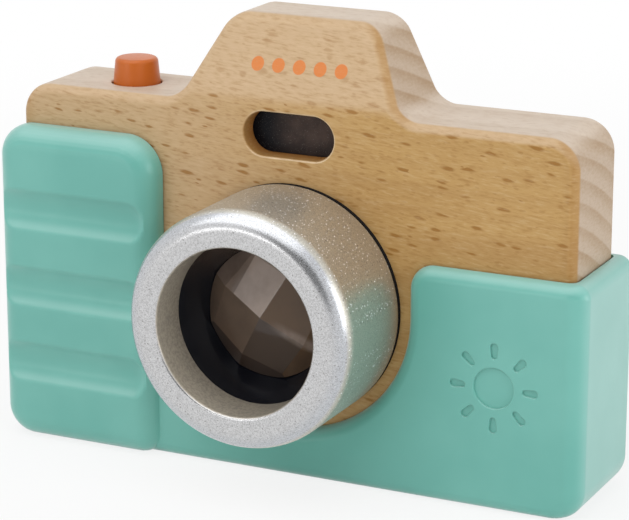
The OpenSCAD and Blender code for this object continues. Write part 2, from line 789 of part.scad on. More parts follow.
// Orange button with a neck for the stop washer and a tip that reaches the switch
module shutter_button() {
  color([0.87, 0.47, 0.20]) translate([unit_x, 0, 0]) rotate_extrude() button_section();
}

// Washer on the button's neck, which stops it under the shoulder
module stop_washer() {
  color([0.75, 0.75, 0.77]) translate([unit_x, 0, 0])
    tube(stop_d / 2, neck_d / 2 + seat_fit / 2, stop_bottom_z, stop_top_z);
}

// Points of one ring of the spring's wire, at a share t of its length
function spring_ring(t, sides, low, high) =
  let (
    a = 360 * spring_turns * t,
    slope = (high - low) / (PI * spring_d * spring_turns),
    centre = [spring_d / 2 * cos(a), spring_d / 2 * sin(a), low + (high - low) * t],
    out = [cos(a), sin(a), 0],
    up = [sin(a) * slope, -cos(a) * slope, 1] / norm([slope, 1])
  )
  [for (k = [0:sides - 1]) let (b = 360 * k / sides) centre + spring_wire / 2 * (cos(b) * out + sin(b) * up)];

// Return spring under the stop washer
module button_spring() {
  sides = wire_sides;
  low = case_top_z + spring_wire / 2 + seat_fit;
  high = stop_bottom_z - spring_wire / 2 - seat_fit;
  count = spring_steps * spring_turns;
  last = count * sides;
  color([0.72, 0.72, 0.74]) translate([unit_x, 0, 0]) polyhedron(
    points = [for (i = [0:count]) each spring_ring(i / count, sides, low, high)],
    faces = concat(
      [for (k = [1:sides - 2]) [0, k, k + 1]],
      [for (i = [0:count - 1]) for (k = [0:sides - 1])
        let (a = i * sides + k, b = i * sides + (k + 1) % sides)
        each [[a, a + sides, b + sides], [a, b + sides, b]]],
      [for (k = [1:sides - 2]) [last, last + k + 1, last + k]]));
}

// Plastic case of the sound unit, open to the back, with ledges for the board and walls for the cells
module sound_case() {
  wall_x = cells_half_w + contact_t + seat_fit;
  color([0.25, 0.25, 0.27]) translate([unit_x, 0, 0]) {
    difference() {
      box([-case_half_w, case_front_y, case_bottom_z], [case_half_w, cover_inner_y, case_top_z]);
      box(
        [case_wall - case_half_w, case_front_y + case_wall, case_bottom_z + case_wall],
        [case_half_w - case_wall, wood_depth, case_top_z - case_wall]);
      disc(tip_d / 2 + 2 * loose_fit, case_top_z - 2 * case_wall, case_top_z + cut);
    }
    for (side = [0, 1]) mirror([side, 0, 0]) {
      box(
        [case_half_w - 2 * case_wall, case_front_y + case_wall, board_z - ledge_t],
        [case_half_w - case_wall, cover_inner_y - board_gap, board_z]);
      box(
        [wall_x, case_front_y + case_wall, case_bottom_z + case_wall],
        [wall_x + case_wall, cover_inner_y - board_gap, cell_z + cell_d / 2]);
    }
  }
}

// Circuit board on the case's ledges
module circuit_board() {
  half = case_half_w - case_wall - seat_fit;
  color([0.10, 0.38, 0.20]) translate([unit_x, 0, 0]) box(
    [-half, case_front_y + case_wall + seat_fit, board_z],
    [half, cover_inner_y - board_gap, board_z + board_t]);
}

// Small push switch under the button's tip
module tact_switch() {
  color([0.12, 0.12, 0.13]) translate([unit_x, 0, 0]) {
    box([-switch_w / 2, -switch_w / 2, switch_z], [switch_w / 2, switch_w / 2, switch_z + switch_h]);
    disc(plunger_d / 2, switch_z + switch_h, plunger_z);
  }
}

// Round speaker behind the cover's sound holes
module speaker() {
  color([0.18, 0.18, 0.19]) on_back(unit_x, speaker_z) {
    disc(speaker_d / 2, cover_inner_y - speaker_t / 2, cover_inner_y);
    disc(magnet_d / 2, cover_inner_y - speaker_t, cover_inner_y - speaker_t / 2);
  }
}

// Row of button cells, end to end
module button_cells() {
  color([0.80, 0.80, 0.78]) for (i = [0:cell_count - 1])
    translate([unit_x - cells_half_w + i * cell_t, cell_y, cell_z]) rotate([0, 90, 0])
      cylinder(d = cell_d, h = cell_t - seat_fit / 2);
}

// Spring plates at both ends of the row of cells
module battery_contacts() {
  half = contact_w / 2;
  color([0.82, 0.74, 0.52]) translate([unit_x, 0, 0])
    for (side = [0, 1]) mirror([side, 0, 0]) box(
      [cells_half_w, cell_y - half, cell_z - half],
      [cells_half_w + contact_t, cell_y + half, cell_z + half]);
}

// Sound holes in a ring of six round a seventh
module sound_holes() {
  on_back(unit_x, speaker_z) {
    disc(sound_hole_d / 2, 0, wood_depth);
    for (a = [0:60:300]) rotate(a) translate([sound_ring_d / 2, 0, 0]) disc(sound_hole_d / 2, 0, wood_depth);
  }
}

// Cover let into the back of the block, with the battery opening
module sound_cover() {
  color([0.90, 0.88, 0.84]) difference() {
    box(
      [unit_x - cover_half_w + seat_fit, cover_inner_y, cover_bottom_z + seat_fit],
      [unit_x + cover_half_w - seat_fit, wood_back_y, cover_top_z - seat_fit]);
    box(
      [unit_x - door_half_w, wood_back_y - door_t, door_bottom_z],
      [unit_x + door_half_w, wood_depth, door_top_z]);
    box(
      [unit_x - door_half_w + door_lap, 0, cell_z - cell_d / 2 - seat_fit],
      [unit_x + door_half_w - door_lap, wood_depth, door_top_z - door_lap]);
    sound_holes();
    cover_screw_places() screw(wood_back_y, seat_fit / 2);
    on_back(unit_x, door_screw_z) screw(wood_back_y, seat_fit / 2);
  }
}

// Four screws that hold the cover to the block
module cover_screws() {
  color([0.70, 0.70, 0.72]) cover_screw_places() screw(wood_back_y);
}

// Door over the cells
module battery_door() {
  color([0.90, 0.88, 0.84]) difference() {
    box(
      [unit_x - door_half_w + seat_fit, wood_back_y - door_t, door_bottom_z + seat_fit],
      [unit_x + door_half_w - seat_fit, wood_back_y, door_top_z - seat_fit]);
    on_back(unit_x, door_screw_z) screw(wood_back_y, seat_fit / 2);
  }
}

// Screw that keeps the battery door shut
module battery_door_screw() {
  color([0.70, 0.70, 0.72]) on_back(unit_x, door_screw_z) screw(wood_back_y);
}

wood_body();
silicone_sleeve();
lens_ring();
prism_lens();
lens_seal();
lens_hub();
hub_screws();
felt_washer();
thrust_washer();
retaining_ring();
retainer_screws();
eyepiece_rim();
eyepiece_window();
viewfinder_front_window();
viewfinder_rear_window();
shutter_button();
stop_washer();
button_spring();
sound_case();
circuit_board();
tact_switch();
speaker();
button_cells();
battery_contacts();
sound_cover();
cover_screws();
battery_door();
battery_door_screw();
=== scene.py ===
"""Looks of the toy camera: its beech block, silicone sleeve, silver lens, button and small fittings."""

import json
import math

import bmesh
import bpy
from bpy.props import FloatProperty, FloatVectorProperty, IntProperty, PointerProperty
from mathutils import Matrix, Vector

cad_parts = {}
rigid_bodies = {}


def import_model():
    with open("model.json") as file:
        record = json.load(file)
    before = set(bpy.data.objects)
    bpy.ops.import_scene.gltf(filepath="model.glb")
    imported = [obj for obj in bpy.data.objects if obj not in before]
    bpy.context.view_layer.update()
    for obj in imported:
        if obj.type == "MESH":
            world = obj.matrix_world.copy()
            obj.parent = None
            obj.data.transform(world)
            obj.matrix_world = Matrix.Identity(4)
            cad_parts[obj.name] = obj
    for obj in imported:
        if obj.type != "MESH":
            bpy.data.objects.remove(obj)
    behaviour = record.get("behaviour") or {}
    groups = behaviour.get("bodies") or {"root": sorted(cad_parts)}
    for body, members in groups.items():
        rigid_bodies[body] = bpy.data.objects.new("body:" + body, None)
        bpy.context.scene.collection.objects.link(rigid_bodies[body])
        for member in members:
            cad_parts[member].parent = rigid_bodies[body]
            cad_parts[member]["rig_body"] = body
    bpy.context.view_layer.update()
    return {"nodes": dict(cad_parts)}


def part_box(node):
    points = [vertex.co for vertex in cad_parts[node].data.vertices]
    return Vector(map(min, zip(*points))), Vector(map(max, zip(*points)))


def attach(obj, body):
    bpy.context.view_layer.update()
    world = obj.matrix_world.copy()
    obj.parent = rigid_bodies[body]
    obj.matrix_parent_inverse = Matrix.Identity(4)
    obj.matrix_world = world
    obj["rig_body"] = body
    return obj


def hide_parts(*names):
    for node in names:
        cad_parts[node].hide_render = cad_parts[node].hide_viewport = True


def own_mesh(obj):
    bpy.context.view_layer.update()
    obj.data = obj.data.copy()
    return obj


bl_info = {
    "name": "Toy Camera Looks",
    "version": (1, 0, 0),
    "blender": (4, 5, 0),
    "location": "View3D > Sidebar > Toy Camera",
    "description": "Builds the visible pieces and finishes of a toy camera on its packed parts",
    "category": "Object",
}

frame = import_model()

MM = 0.001
# Points nearer to each other than this are one point
TOUCH = 0.002 * MM
# Reach of a tool that cuts right through
THROUGH = 60 * MM
# Clearance between a piece and its seat
FIT = 0.1 * MM

FRONT = Vector((0, -1, 0))
BACK = Vector((0, 1, 0))
UP = Vector((0, 0, 1))
WHITE = (1, 1, 1)


# Settings

def length(name, description, millimetres):
    """A size for the panel, written in millimetres and kept in metres."""
    return FloatProperty(
        name=name,
        description=description,
        default=millimetres * MM,
        unit="LENGTH",
        precision=4,
    )


def angle(name, description, degrees):
    """An angle for the panel, written in degrees."""
    return FloatProperty(name=name, description=description, default=math.radians(degrees), subtype="ANGLE")


def factor(name, description, share):
    """A share for the panel."""
    return FloatProperty(name=name, description=description, default=share, subtype="FACTOR")


def whole(name, description, number):
    """A whole number for the panel."""
    return IntProperty(name=name, description=description, default=number)


def power(name, description, watts):
    """The power of a lamp for the panel."""
    return FloatProperty(name=name, description=description, default=watts, unit="POWER")


def linear(value):
    """The linear light of an 8-bit colour value."""
    share = value / 255
    return share / 12.92 if share <= 0.04045 else ((share + 0.055) / 1.055) ** 2.4


def shade(name, description, red, green, blue):
    """A colour for the panel, written as it looks on a screen."""
    return FloatVectorProperty(
        name=name,
        description=description,
        default=(linear(red), linear(green), linear(blue)),
        size=3,
        min=0,
        max=1,
        subtype="COLOR",
    )


class BlockSettings(bpy.types.PropertyGroup):
    """Sizes of the wooden block and of the dots printed on it"""

    shoulder_height: length("Shoulder height", "Height of the shoulders above the base", 76)
    hump_top_width: length("Hump top width", "Width of the hump along its top", 32)
    hump_foot_width: length("Hump foot width", "Width of the hump at its foot", 49.2)
    lean: length("Lean", "How far the hump's front leans back at its top", 7.5)
    lean_start: length("Lean start", "Height over which the lean begins", 3)
    edge_radius: length("Edge radius", "Rounding of the block's edges", 2)
    shoulder_radius: length("Shoulder radius", "Corner radius of the shoulders", 6.5)
    hump_top_radius: length("Hump top radius", "Corner radius of the hump's top", 6)
    hump_foot_radius: length("Hump foot radius", "Radius of the hollow at the hump's foot", 5.5)
    bottom_radius: length("Bottom radius", "Corner radius at the bottom of the block", 3.5)
    rim_radius: length("Rim radius", "Rounding of the rims of the viewfinder and the button's hole", 0.4)
    button_gap: length("Button gap", "Visible gap round the button", 0.3)
    finder_ledge: length("Viewfinder ledge", "Width of the ledge behind each viewfinder window", 1.2)
    lens_bore: length("Lens bore", "Diameter of the bore that the lens hub turns in", 30.2)
    eyepiece_ledge: length("Eyepiece ledge", "Width of the wood that the eyepiece's rim lies on", 1.5)
    unit_room: length("Unit room", "Room left round the sound unit", 0.3)
    dot_count: whole("Dots", "Number of dots printed on the hump", 5)
    dot_diameter: length("Dot diameter", "Diameter of one printed dot", 2.76)
    dot_pitch: length("Dot pitch", "Distance from one printed dot to the next", 4.6)
    dot_middle: length("Dot middle", "How far right of the block's middle the row of dots is centred", 1.3)
    dot_height: length("Dot height", "Height of the printed dots above the base", 84.2)


class SleeveSettings(bpy.types.PropertyGroup):
    """Sizes of the silicone sleeve"""

    front_wall: length("Front wall", "Wall of the pad and the band over the front of the wood", 3)
    pad_height: length("Pad height", "Height of the pad's top above the base", 48.3)
    grip_inner: length("Grip inner edge", "Distance of the grip's inner edge from the middle", 28)
    ring_margin: length("Ring margin", "Bare wood between the lens ring and the sleeve", 2.4)
    saddle_tuck: length("Saddle tuck", "How far the saddle tucks in behind the grip", 1)
    seam: length("Seam", "Visible gap between the sleeve and the wood", 0.4)
    edge_radius: length("Edge radius", "Rounding of the sleeve's back edges", 2.5)
    front_radius: length("Front radius", "Rounding of the pad's front edge", 2.8)
    end_softness: factor("End softness", "How much wider the pad's outer edge is rounded", 0.8)
    end_reach: length("End reach", "How far in from the pad's outer edge its rounding is widened", 8)
    grip_edge_radius: length("Grip edge radius", "Rounding of the grip's front edge", 4.5)
    corner_radius: length("Corner radius", "Corner radius of the sleeve's outline at the base", 6.5)
    pad_corner_radius: length("Pad corner radius", "Radius of the pad's inner top corner", 5)
    pad_end_radius: length("Pad end radius", "Radius of the pad's outer top corner", 2.912)
    grip_corner_radius: length("Grip corner radius", "Radius of the grip's inner top corner", 8)
    grip_foot_radius: length("Grip foot radius", "Radius of the grip's inner bottom corner", 4.59)
    lip_width: length("Lip width", "Width of the lip round the open back", 7.5)
    lip_height: length("Lip height", "Height of the lip along the bottom of the back", 11)
    scoop_count: whole("Scoops", "Number of finger scoops", 3)
    scoop_height: length("Lowest scoop", "Height of the lowest scoop's middle", 17.1)
    scoop_pitch: length("Scoop pitch", "Distance from one scoop to the next", 16.6)
    scoop_width: length("Scoop width", "Height of one scoop", 8.5)
    scoop_depth: length("Scoop depth", "Depth of a scoop at its middle", 1.8)
    scoop_margin: length("Scoop margin", "Plain strip between the scoops and the grip's inner edge", 1.4)
    scoop_softness: length("Scoop softness", "How softly the scoops' rims are rounded", 0.12)
    sun_height: length("Sun height", "Height of the sun's middle", 25.7)
    sun_diameter: length("Sun diameter", "Diameter of the sun's disc", 8.4)
    ray_count: whole("Rays", "Number of the sun's rays", 8)
    ray_length: length("Ray length", "Length of one ray", 3.4)
    ray_width: length("Ray width", "Width of one ray at its outer end", 1.6)
    ray_taper: factor("Ray taper", "Width of a ray's inner end against its outer end", 0.75)
    ray_gap: length("Ray gap", "Gap between the disc and the rays", 1.6)
    sun_depth: length("Sun depth", "Depth of the pressed sun", 0.6)
    sun_rim: length("Sun rim", "Rounding of the pressed sun's rims", 0.25)


class LensSettings(bpy.types.PropertyGroup):
    """Sizes of the lens ring and the prism lens"""

    ring_wall: length("Ring wall", "Width of the ring's front, from its opening to its outside", 7.25)
    ring_edge_radius: length("Ring edge radius", "Rounding of the ring's front edge", 4)
    opening_radius: length("Opening rounding", "Rounding of the opening's edge", 0.7)
    rear_radius: length("Rear rounding", "Rounding of the ring's rear edge", 0.6)
    well_depth: length("Well depth", "Depth of the silver wall inside the opening", 9.2)
    seat_width: length("Seat width", "Width of the ledge inside the ring", 1.5)
    flange_rim: length("Flange rim", "Wall left round the hub's flange", 1.55)
    flange_depth: length("Flange depth", "Depth of the flange's seat in the ring", 2.1)
    lens_rim: length("Lens rim", "Thickness of the lens's rim", 3)
    facet_count: whole("Facets", "Number of large facets round the tip", 4)
    facet_slope: angle("Facet slope", "Slope of the large facets", 15)
    edge_slope: angle("Edge slope", "Slope of the small facets round the edge", 32)
    facet_turn: angle("Facet turn", "Turn of the facets", 60)
    facet_edge: length("Facet edge", "Rounding of the edges between facets", 0.08)


class FittingSettings(bpy.types.PropertyGroup):
    """Sizes of the button and the fittings on the back"""

    button_taper: length("Button taper", "Taper of the button's head on the radius", 0.5)
    button_edge: length("Button edge", "Rounding of the button's top edge", 0.9)
    neck_diameter: length("Neck diameter", "Diameter of the button's neck", 5)
    tip_diameter: length("Tip diameter", "Diameter of the button's tip", 3)
    spring_wire: length("Spring wire", "Diameter of the spring's wire", 0.6)
    spring_turns: whole("Spring turns", "Number of the spring's coils", 4)
    rim_rounding: length("Eyepiece rounding", "Rounding of the eyepiece's rim", 0.75)
    rim_overhang: length("Eyepiece overhang", "How far the eyepiece's rim stands out over its plug", 1.6)
    eyepiece_hole: length("Eyepiece hole", "Diameter of the eyepiece's hole", 16)
    hole_rounding: length("Hole rounding", "Rounding of the edge of the eyepiece's hole", 0.3)
    eyepiece_dish: length("Eyepiece dish", "Depth of the dish round the eyepiece's hole", 2.2)
    dish_margin: length("Dish margin", "From the dish's edge to the side of the eyepiece's plug", 3)
    dish_rounding: length("Dish rounding", "Rounding of the dish's edge", 0.8)
    cover_corner: length("Cover corner", "Corner radius of the cover", 0.6)
    cover_edge: length("Cover edge", "Rounding of the cover's edges", 0.35)
    sound_holes: whole("Sound holes", "Number of sound holes round the middle one", 6)
    sound_hole: length("Sound hole", "Diameter of one sound hole", 1.4)
    sound_ring: length("Sound ring", "Diameter of the ring of sound holes", 7.5)
    door_gap: length("Door gap", "Gap round the battery door", 0.1)
    door_lap: length("Door lap", "Lap of the battery door over the cover", 0.7)
    door_corner: length("Door corner", "Corner radius of the battery door", 0.4)
    door_edge: length("Door edge", "Rounding of the battery door's edges", 0.25)
    groove_count: whole("Grooves", "Number of finger grooves in the battery door", 3)
    groove_start: length("Groove start", "From the battery door's top to its first groove", 3)
    groove_pitch: length("Groove pitch", "Distance from one groove to the next", 1.4)
    groove_margin: length("Groove margin", "Plain strip at each end of a groove", 2.5)
    groove_width: length("Groove width", "Height of one groove", 0.7)
    groove_depth: length("Groove depth", "Depth of one groove", 0.4)
    screw_head: length("Screw head", "Diameter of a screw's head", 3)
    screw_rim: length("Screw rim", "Height of the upright rim of a screw's head", 0.1)
    screw_shank: length("Screw shank", "Diameter of a screw's shank", 1.6)
    screw_room: length("Screw room", "Room round a screw in its hole", 0.05)
    slot_width: length("Slot width", "Width of the cross in a screw's head", 0.4)
    slot_length: length("Slot length", "Length of the cross in a screw's head", 1.8)
    slot_depth: length("Slot depth", "Depth of the cross in a screw's head", 0.5)


class ColourSettings(bpy.types.PropertyGroup):
    """Colours of the finishes"""

    beech_front: shade("Beech front", "Oiled front of the block", 199, 160, 101)
    beech_deep: shade("Beech deep", "Darker bands of the front", 186, 146, 90)
    # Paler beech: painted light where the wood faces up, on the hump and the top edges; also blended into the
    # front toward the left
    beech_pale_and_lit: shade("Beech hump", "Oil that faces up, on the hump and the top edges", 205, 175, 138)
    # Painted shade on the upright edges that face right, toward the block's ends and on the front of the
    # viewfinder slot's walls
    beech_shade: shade("Beech edge", "Worn oil on the upright edges", 174, 132, 77)
    beech_side: shade("Beech side", "Pale sides and top", 213, 196, 178)
    # Growth rings on the sides; also painted shade on the block's ends
    beech_ring_and_end_shade: shade("Beech ring", "Growth rings on the sides", 162, 130, 92)
    # Painted shade deep in the viewfinder's slot
    beech_slot_shade: shade("Beech slot", "Walls of the viewfinder's slot", 176, 122, 64)
    # Painted highlight on the viewfinder's rim; also the pale fibre streaks
    beech_highlight_and_streak: shade("Beech rim", "Bright rim of the viewfinder", 232, 209, 172)
    beech_fleck: shade("Beech fleck", "Ray flecks and fibres", 154, 104, 38)
    print_orange: shade("Print orange", "Printed dots on the hump", 224, 131, 64)
    mint: shade("Mint", "Silicone sleeve", 119, 190, 178)
    mint_deep: shade("Mint deep", "Deeper tone of the silicone", 109, 182, 170)
    # Painted shade round the lens ring
    mint_ring_shade: shade("Mint shade", "Deep tone of the silicone round the lens", 82, 164, 150)
    # Painted light and sheen where the silicone faces up and on the pad's right end
    mint_painted_light: shade("Mint bloom", "Dusty bloom where the silicone faces up or to the right", 176, 215, 209)
    silver: shade("Silver", "Sparkle paint", 210, 210, 211)
    # Painted reflection: cooler grey on the ring's rounded front edge
    silver_edge_reflection: shade("Silver edge", "Cooler paint on the rounded edge", 198, 201, 206)
    # Painted reflection of the wood: warmer grey on the ring's side
    silver_side_reflection: shade("Silver side", "Warmer paint on the ring's side", 203, 199, 187)
    silver_flake: shade("Silver flake", "Flakes in the sparkle paint", 250, 250, 252)
    silver_pit: shade("Silver pit", "Small dark pits in the paint", 128, 126, 124)
    silver_worn: shade("Silver worn", "Dull paint inside the opening", 196, 186, 168)
    # Painted light on the facets that face up and on the lens's highlight streak
    lens_lit: shade("Lens light", "Facets of the lens that face up", 166, 150, 140)
    lens_half_lit: shade("Lens half", "Half-lit part of the facet that faces up", 122, 106, 96)
    lens_brown: shade("Lens brown", "Facets of the lens that face sideways", 104, 87, 74)
    # Painted shade on the facets that face right
    lens_right_shade: shade("Lens warm", "Facets of the lens that face right", 98, 77, 58)
    # Painted shade on the facets that face down; also the lens's darker haze and the painted light on the
    # funnel's top
    lens_dark: shade("Lens dark", "Facets of the lens that face down, and its haze", 68, 56, 49)
    window_smoke: shade("Window smoke", "Smoked viewfinder windows", 84, 70, 64)
    # Painted shade at the windows' left end and along their foot
    window_shade: shade("Window deep", "Dark end of the viewfinder windows", 9, 11, 18)
    orange: shade("Orange", "Push button", 208, 106, 28)
    black: shade("Black", "Black plastic", 30, 30, 34)
    funnel: shade("Funnel", "Gloss black hub round the lens", 19, 21, 28)
    cover: shade("Cover", "Cover and battery door", 226, 222, 212)


class StageSettings(bpy.types.PropertyGroup):
    """The photograph's view and light"""

    azimuth: angle("Azimuth", "How far the view is turned to the right", 25.96)
    elevation: angle("Elevation", "How far the view looks down", 15.81)
    distance: length("Distance", "From the camera to the target", 537.59)
    target_height: length("Target height", "Height of the point that the view turns on", 45)
    focal_length: FloatProperty(
        name="Focal length",
        description="Focal length of the view in millimetres",
        default=150.25,
        unit="CAMERA",
    )
    shift_x: FloatProperty(name="Shift X", description="Sideways shift of the picture", default=0.0061)
    shift_y: FloatProperty(name="Shift Y", description="Upward shift of the picture", default=-0.0198)
    ambient: FloatProperty(name="Ambient", description="Strength of the light from all round", default=0.5)
    key_power: power("Key", "Power of the large lamp above", 4.0)
    side_power: power("Side", "Power of the lamp on the right", 1.45)
    strip_power: power("Strip", "Power of the low strip", 0.55)
    floor_white: factor("Floor white", "Share of plain white in the floor by the object", 0.83)
    shadow_reach: length("Shadow reach", "Where the floor has run out to plain white", 450)


class ToyCameraSettings(bpy.types.PropertyGroup):
    """All settings of the toy camera"""

    block: PointerProperty(type=BlockSettings)
    sleeve: PointerProperty(type=SleeveSettings)
    lens: PointerProperty(type=LensSettings)
    fittings: PointerProperty(type=FittingSettings)
    colours: PointerProperty(type=ColourSettings)
    stage: PointerProperty(type=StageSettings)


# Shapes

def middle_of(node):
    """The middle of a CAD node's box."""
    low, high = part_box(node)
    return (low + high) / 2


def radius_of(node):
    """Half the width of a CAD node's box."""
    low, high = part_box(node)
    return (high.x - low.x) / 2


def arc_segments(radius, turn):
    """Segments that keep an arc within a hundredth of a millimetre of round."""
    off_round = 0.01 * MM
    step = 2 * math.acos(1 - off_round / max(radius, 10 * off_round))
    return max(3, math.ceil(turn / step))


def round_corners(bm, verts, corners):
    """Rounds the corners of a flat face: corners are (across, up, radius) in the order of its verts."""
    for i, (across, up, radius) in enumerate(corners):
        if radius == 0:
            continue
        here = Vector((across, up))
        before = here - Vector(corners[i - 1][:2])
        after = Vector(corners[(i + 1) % len(corners)][:2]) - here
        turn = before.angle(after)
        bmesh.ops.bevel(
            bm,
            geom=[verts[i]],
            offset=radius * math.tan(turn / 2),
            offset_type="OFFSET",
            segments=arc_segments(radius, turn),
            profile=0.5,
            affect="VERTICES",
            material=-1,
        )


def round_edges(bm, edges, radius, segments=6):
    """Rounds edges to a radius."""
    bmesh.ops.bevel(
        bm,
        geom=edges,
        offset=radius,
        offset_type="OFFSET",
        segments=segments,
        profile=0.5,
        affect="EDGES",
        clamp_overlap=False,
        material=-1,
    )


def edges_where(bm, test):
    """Edges with both ends where the test holds."""
    return [edge for edge in bm.edges if all(test(vert.co) for vert in edge.verts)]


def fill_holes(bm):
    """Fills what a cut or a spin has left open."""
    bmesh.ops.holes_fill(bm, edges=[edge for edge in bm.edges if edge.is_boundary])


def slab(corners, front, back, front_radius=0, back_radius=0):
    """A block between two depths, with the outline (x, z, radius) and rounded front and back edges."""
    bm = bmesh.new()
    verts = [bm.verts.new((x, front, z)) for x, z, _ in corners]
    bm.faces.new(verts)
    round_corners(bm, verts, corners)
    made = bmesh.ops.extrude_face_region(bm, geom=bm.faces[:])["geom"]
    moved = [part for part in made if isinstance(part, bmesh.types.BMVert)]
    bmesh.ops.translate(bm, vec=(0, back - front, 0), verts=moved)
    bmesh.ops.recalc_face_normals(bm, faces=bm.faces[:])
    for depth, radius in ((front, front_radius), (back, back_radius)):
        if radius:
            round_edges(bm, edges_where(bm, lambda co: abs(co.y - depth) < TOUCH), radius, segments=8)
    return bm


def box_corners(left, right, low, high, radius=0):
    """Corners of an upright rectangle."""
    return [(right, low, radius), (right, high, radius), (left, high, radius), (left, low, radius)]


def round_bar(radius, depth, matrix, segments=96):
    """A round bar with flat ends, put in its place by a matrix."""
    bm = bmesh.new()
    bmesh.ops.create_cone(
        bm,
        cap_ends=True,
        segments=segments,
        radius1=radius,
        radius2=radius,
        depth=depth,
        matrix=matrix,
    )
    return bm


def rod(across, up, radius, front, back, segments=96):
    """A round rod from front to back."""
    middle = Matrix.Translation((across, (front + back) / 2, up))
    return round_bar(radius, back - front, middle @ Matrix.Rotation(math.pi / 2, 4, "X"), segments)


def turned(section, centre, axis, segments):
    """A turned piece: section is corners (out, along, radius), and along runs down the axis from centre."""
    bm = bmesh.new()
    side = Vector((1, 0, 0))
    verts = [bm.verts.new(centre + side * out + axis * along) for out, along, _ in section]
    bm.faces.new(verts)
    round_corners(bm, verts, section)
    bmesh.ops.delete(bm, geom=bm.faces[:], context="FACES_ONLY")
    inner = edges_where(bm, lambda co: ((co - centre).cross(axis)).length < TOUCH)
    bmesh.ops.delete(bm, geom=inner, context="EDGES")
    bmesh.ops.spin(
        bm,
        geom=bm.verts[:] + bm.edges[:],
        cent=centre,
        axis=axis,
        dvec=(0, 0, 0),
        angle=2 * math.pi,
        steps=segments,
        use_merge=True,
    )
    bmesh.ops.remove_doubles(bm, verts=bm.verts[:], dist=TOUCH)
    bmesh.ops.recalc_face_normals(bm, faces=bm.faces[:])
    return bm


def stand_in(bm):
    """A short-lived object that holds a shape for a Boolean modifier."""
    mesh = bpy.data.meshes.new("stand_in")
    bm.to_mesh(mesh)
    bm.free()
    obj = bpy.data.objects.new("stand_in", mesh)
    bpy.context.scene.collection.objects.link(obj)
    return obj


def combined(base, *steps):
    """The base after other shapes are joined to it or cut from it: steps are (operation, shape)."""
    target = stand_in(base)
    tools = []
    for operation, shape in steps:
        tools.append(stand_in(shape))
        modifier = target.modifiers.new(operation, "BOOLEAN")
        modifier.operation = operation
        modifier.solver = "EXACT"
        modifier.object = tools[-1]
    bm = bmesh.new()
    bm.from_object(target, bpy.context.evaluated_depsgraph_get())
    for obj in [target, *tools]:
        mesh = obj.data
        bpy.data.objects.remove(obj)
        bpy.data.meshes.remove(mesh)
    bmesh.ops.remove_doubles(bm, verts=bm.verts[:], dist=TOUCH / 4)
    return bm


def cut_from(base, shapes):
    """The base after several shapes are cut from it."""
    return combined(base, *[("DIFFERENCE", shape) for shape in shapes])


def merged(shapes):
    """Several separate shapes in one."""
    bm = bmesh.new()
    for shape in shapes:
        mesh = bpy.data.meshes.new("part")
        shape.to_mesh(mesh)
        shape.free()
        bm.from_mesh(mesh)
        bpy.data.meshes.remove(mesh)
    return bm


def make_piece(name, bm, node, finish, sharp=38):
    """Makes a finished shape into the piece that stands for a CAD node."""
    mesh = bpy.data.meshes.new(name)
    bm.to_mesh(mesh)
    bm.free()
    mesh.shade_smooth()
    mesh.set_sharp_from_angle(angle=math.radians(sharp))
    mesh.materials.append(finish)
    obj = bpy.data.objects.new(name, mesh)
    bpy.context.scene.collection.objects.link(obj)
    even = obj.modifiers.new("Even shading", "WEIGHTED_NORMAL")
    even.keep_sharp = True
    body = frame["nodes"][node]["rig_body"]
    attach(obj, body)
    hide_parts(node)
    return obj


def dress(node, finish):
    """Gives a CAD node that stays a finish of its own."""
    materials = frame["nodes"][node].data.materials
    if not materials:
        materials.append(finish)
    for index in range(len(materials)):
        materials[index] = finish


# Finishes

class Nodes:
    """Puts shader nodes together in a tree."""

    def __init__(self, tree):
        self.tree = tree

    def feed(self, socket, value):
        """Links a socket to another, or sets it."""
        if isinstance(value, bpy.types.NodeSocket):
            self.tree.links.new(value, socket)
        elif socket.type == "RGBA":
            socket.default_value = (*value[:3], 1)
        else:
            socket.default_value = value

    def add(self, kind, inputs=None, **options):
        """Adds a node with its options and inputs."""
        node = self.tree.nodes.new("ShaderNode" + kind)
        for option, value in options.items():
            setattr(node, option, value)
        for key, value in (inputs or {}).items():
            self.feed(node.inputs[key], value)
        return node

    def math(self, operation, a, b=0.0):
        """One sum on two numbers."""
        return self.add("Math", {0: a, 1: b}, operation=operation).outputs[0]

    def minus(self, a, b):
        """One number less another."""
        return self.math("SUBTRACT", a, b)

    def size(self, number):
        """A number without its sign."""
        return self.math("ABSOLUTE", number)

    def larger(self, a, b):
        """The larger of two numbers."""
        return self.math("MAXIMUM", a, b)

    def times(self, *numbers):
        """The product of several numbers."""
        product = numbers[0]
        for number in numbers[1:]:
            product = self.math("MULTIPLY", product, number)
        return product

    def slant(self, across, up):
        """The straight way to a point that lies so far across and up."""
        squares = self.math("ADD", self.math("POWER", across, 2.0), self.math("POWER", up, 2.0))
        return self.math("SQRT", squares)

    def vector(self, operation, *parts):
        """One sum on vectors that gives a vector."""
        return self.add("VectorMath", dict(enumerate(parts)), operation=operation).outputs[0]

    def measure(self, operation, *parts):
        """One sum on vectors that gives a number."""
        return self.add("VectorMath", dict(enumerate(parts)), operation=operation).outputs["Value"]

    def ease(self, value, low, high, start=0.0, end=1.0):
        """A soft step from start to end as the value goes from low to high."""
        inputs = {0: value, 1: low, 2: high, 3: start, 4: end}
        return self.add("MapRange", inputs, interpolation_type="SMOOTHSTEP").outputs[0]

    def mix(self, share, a, b):
        """A blend of two colours."""
        return self.add("Mix", {0: share, 6: a, 7: b}, data_type="RGBA").outputs[2]


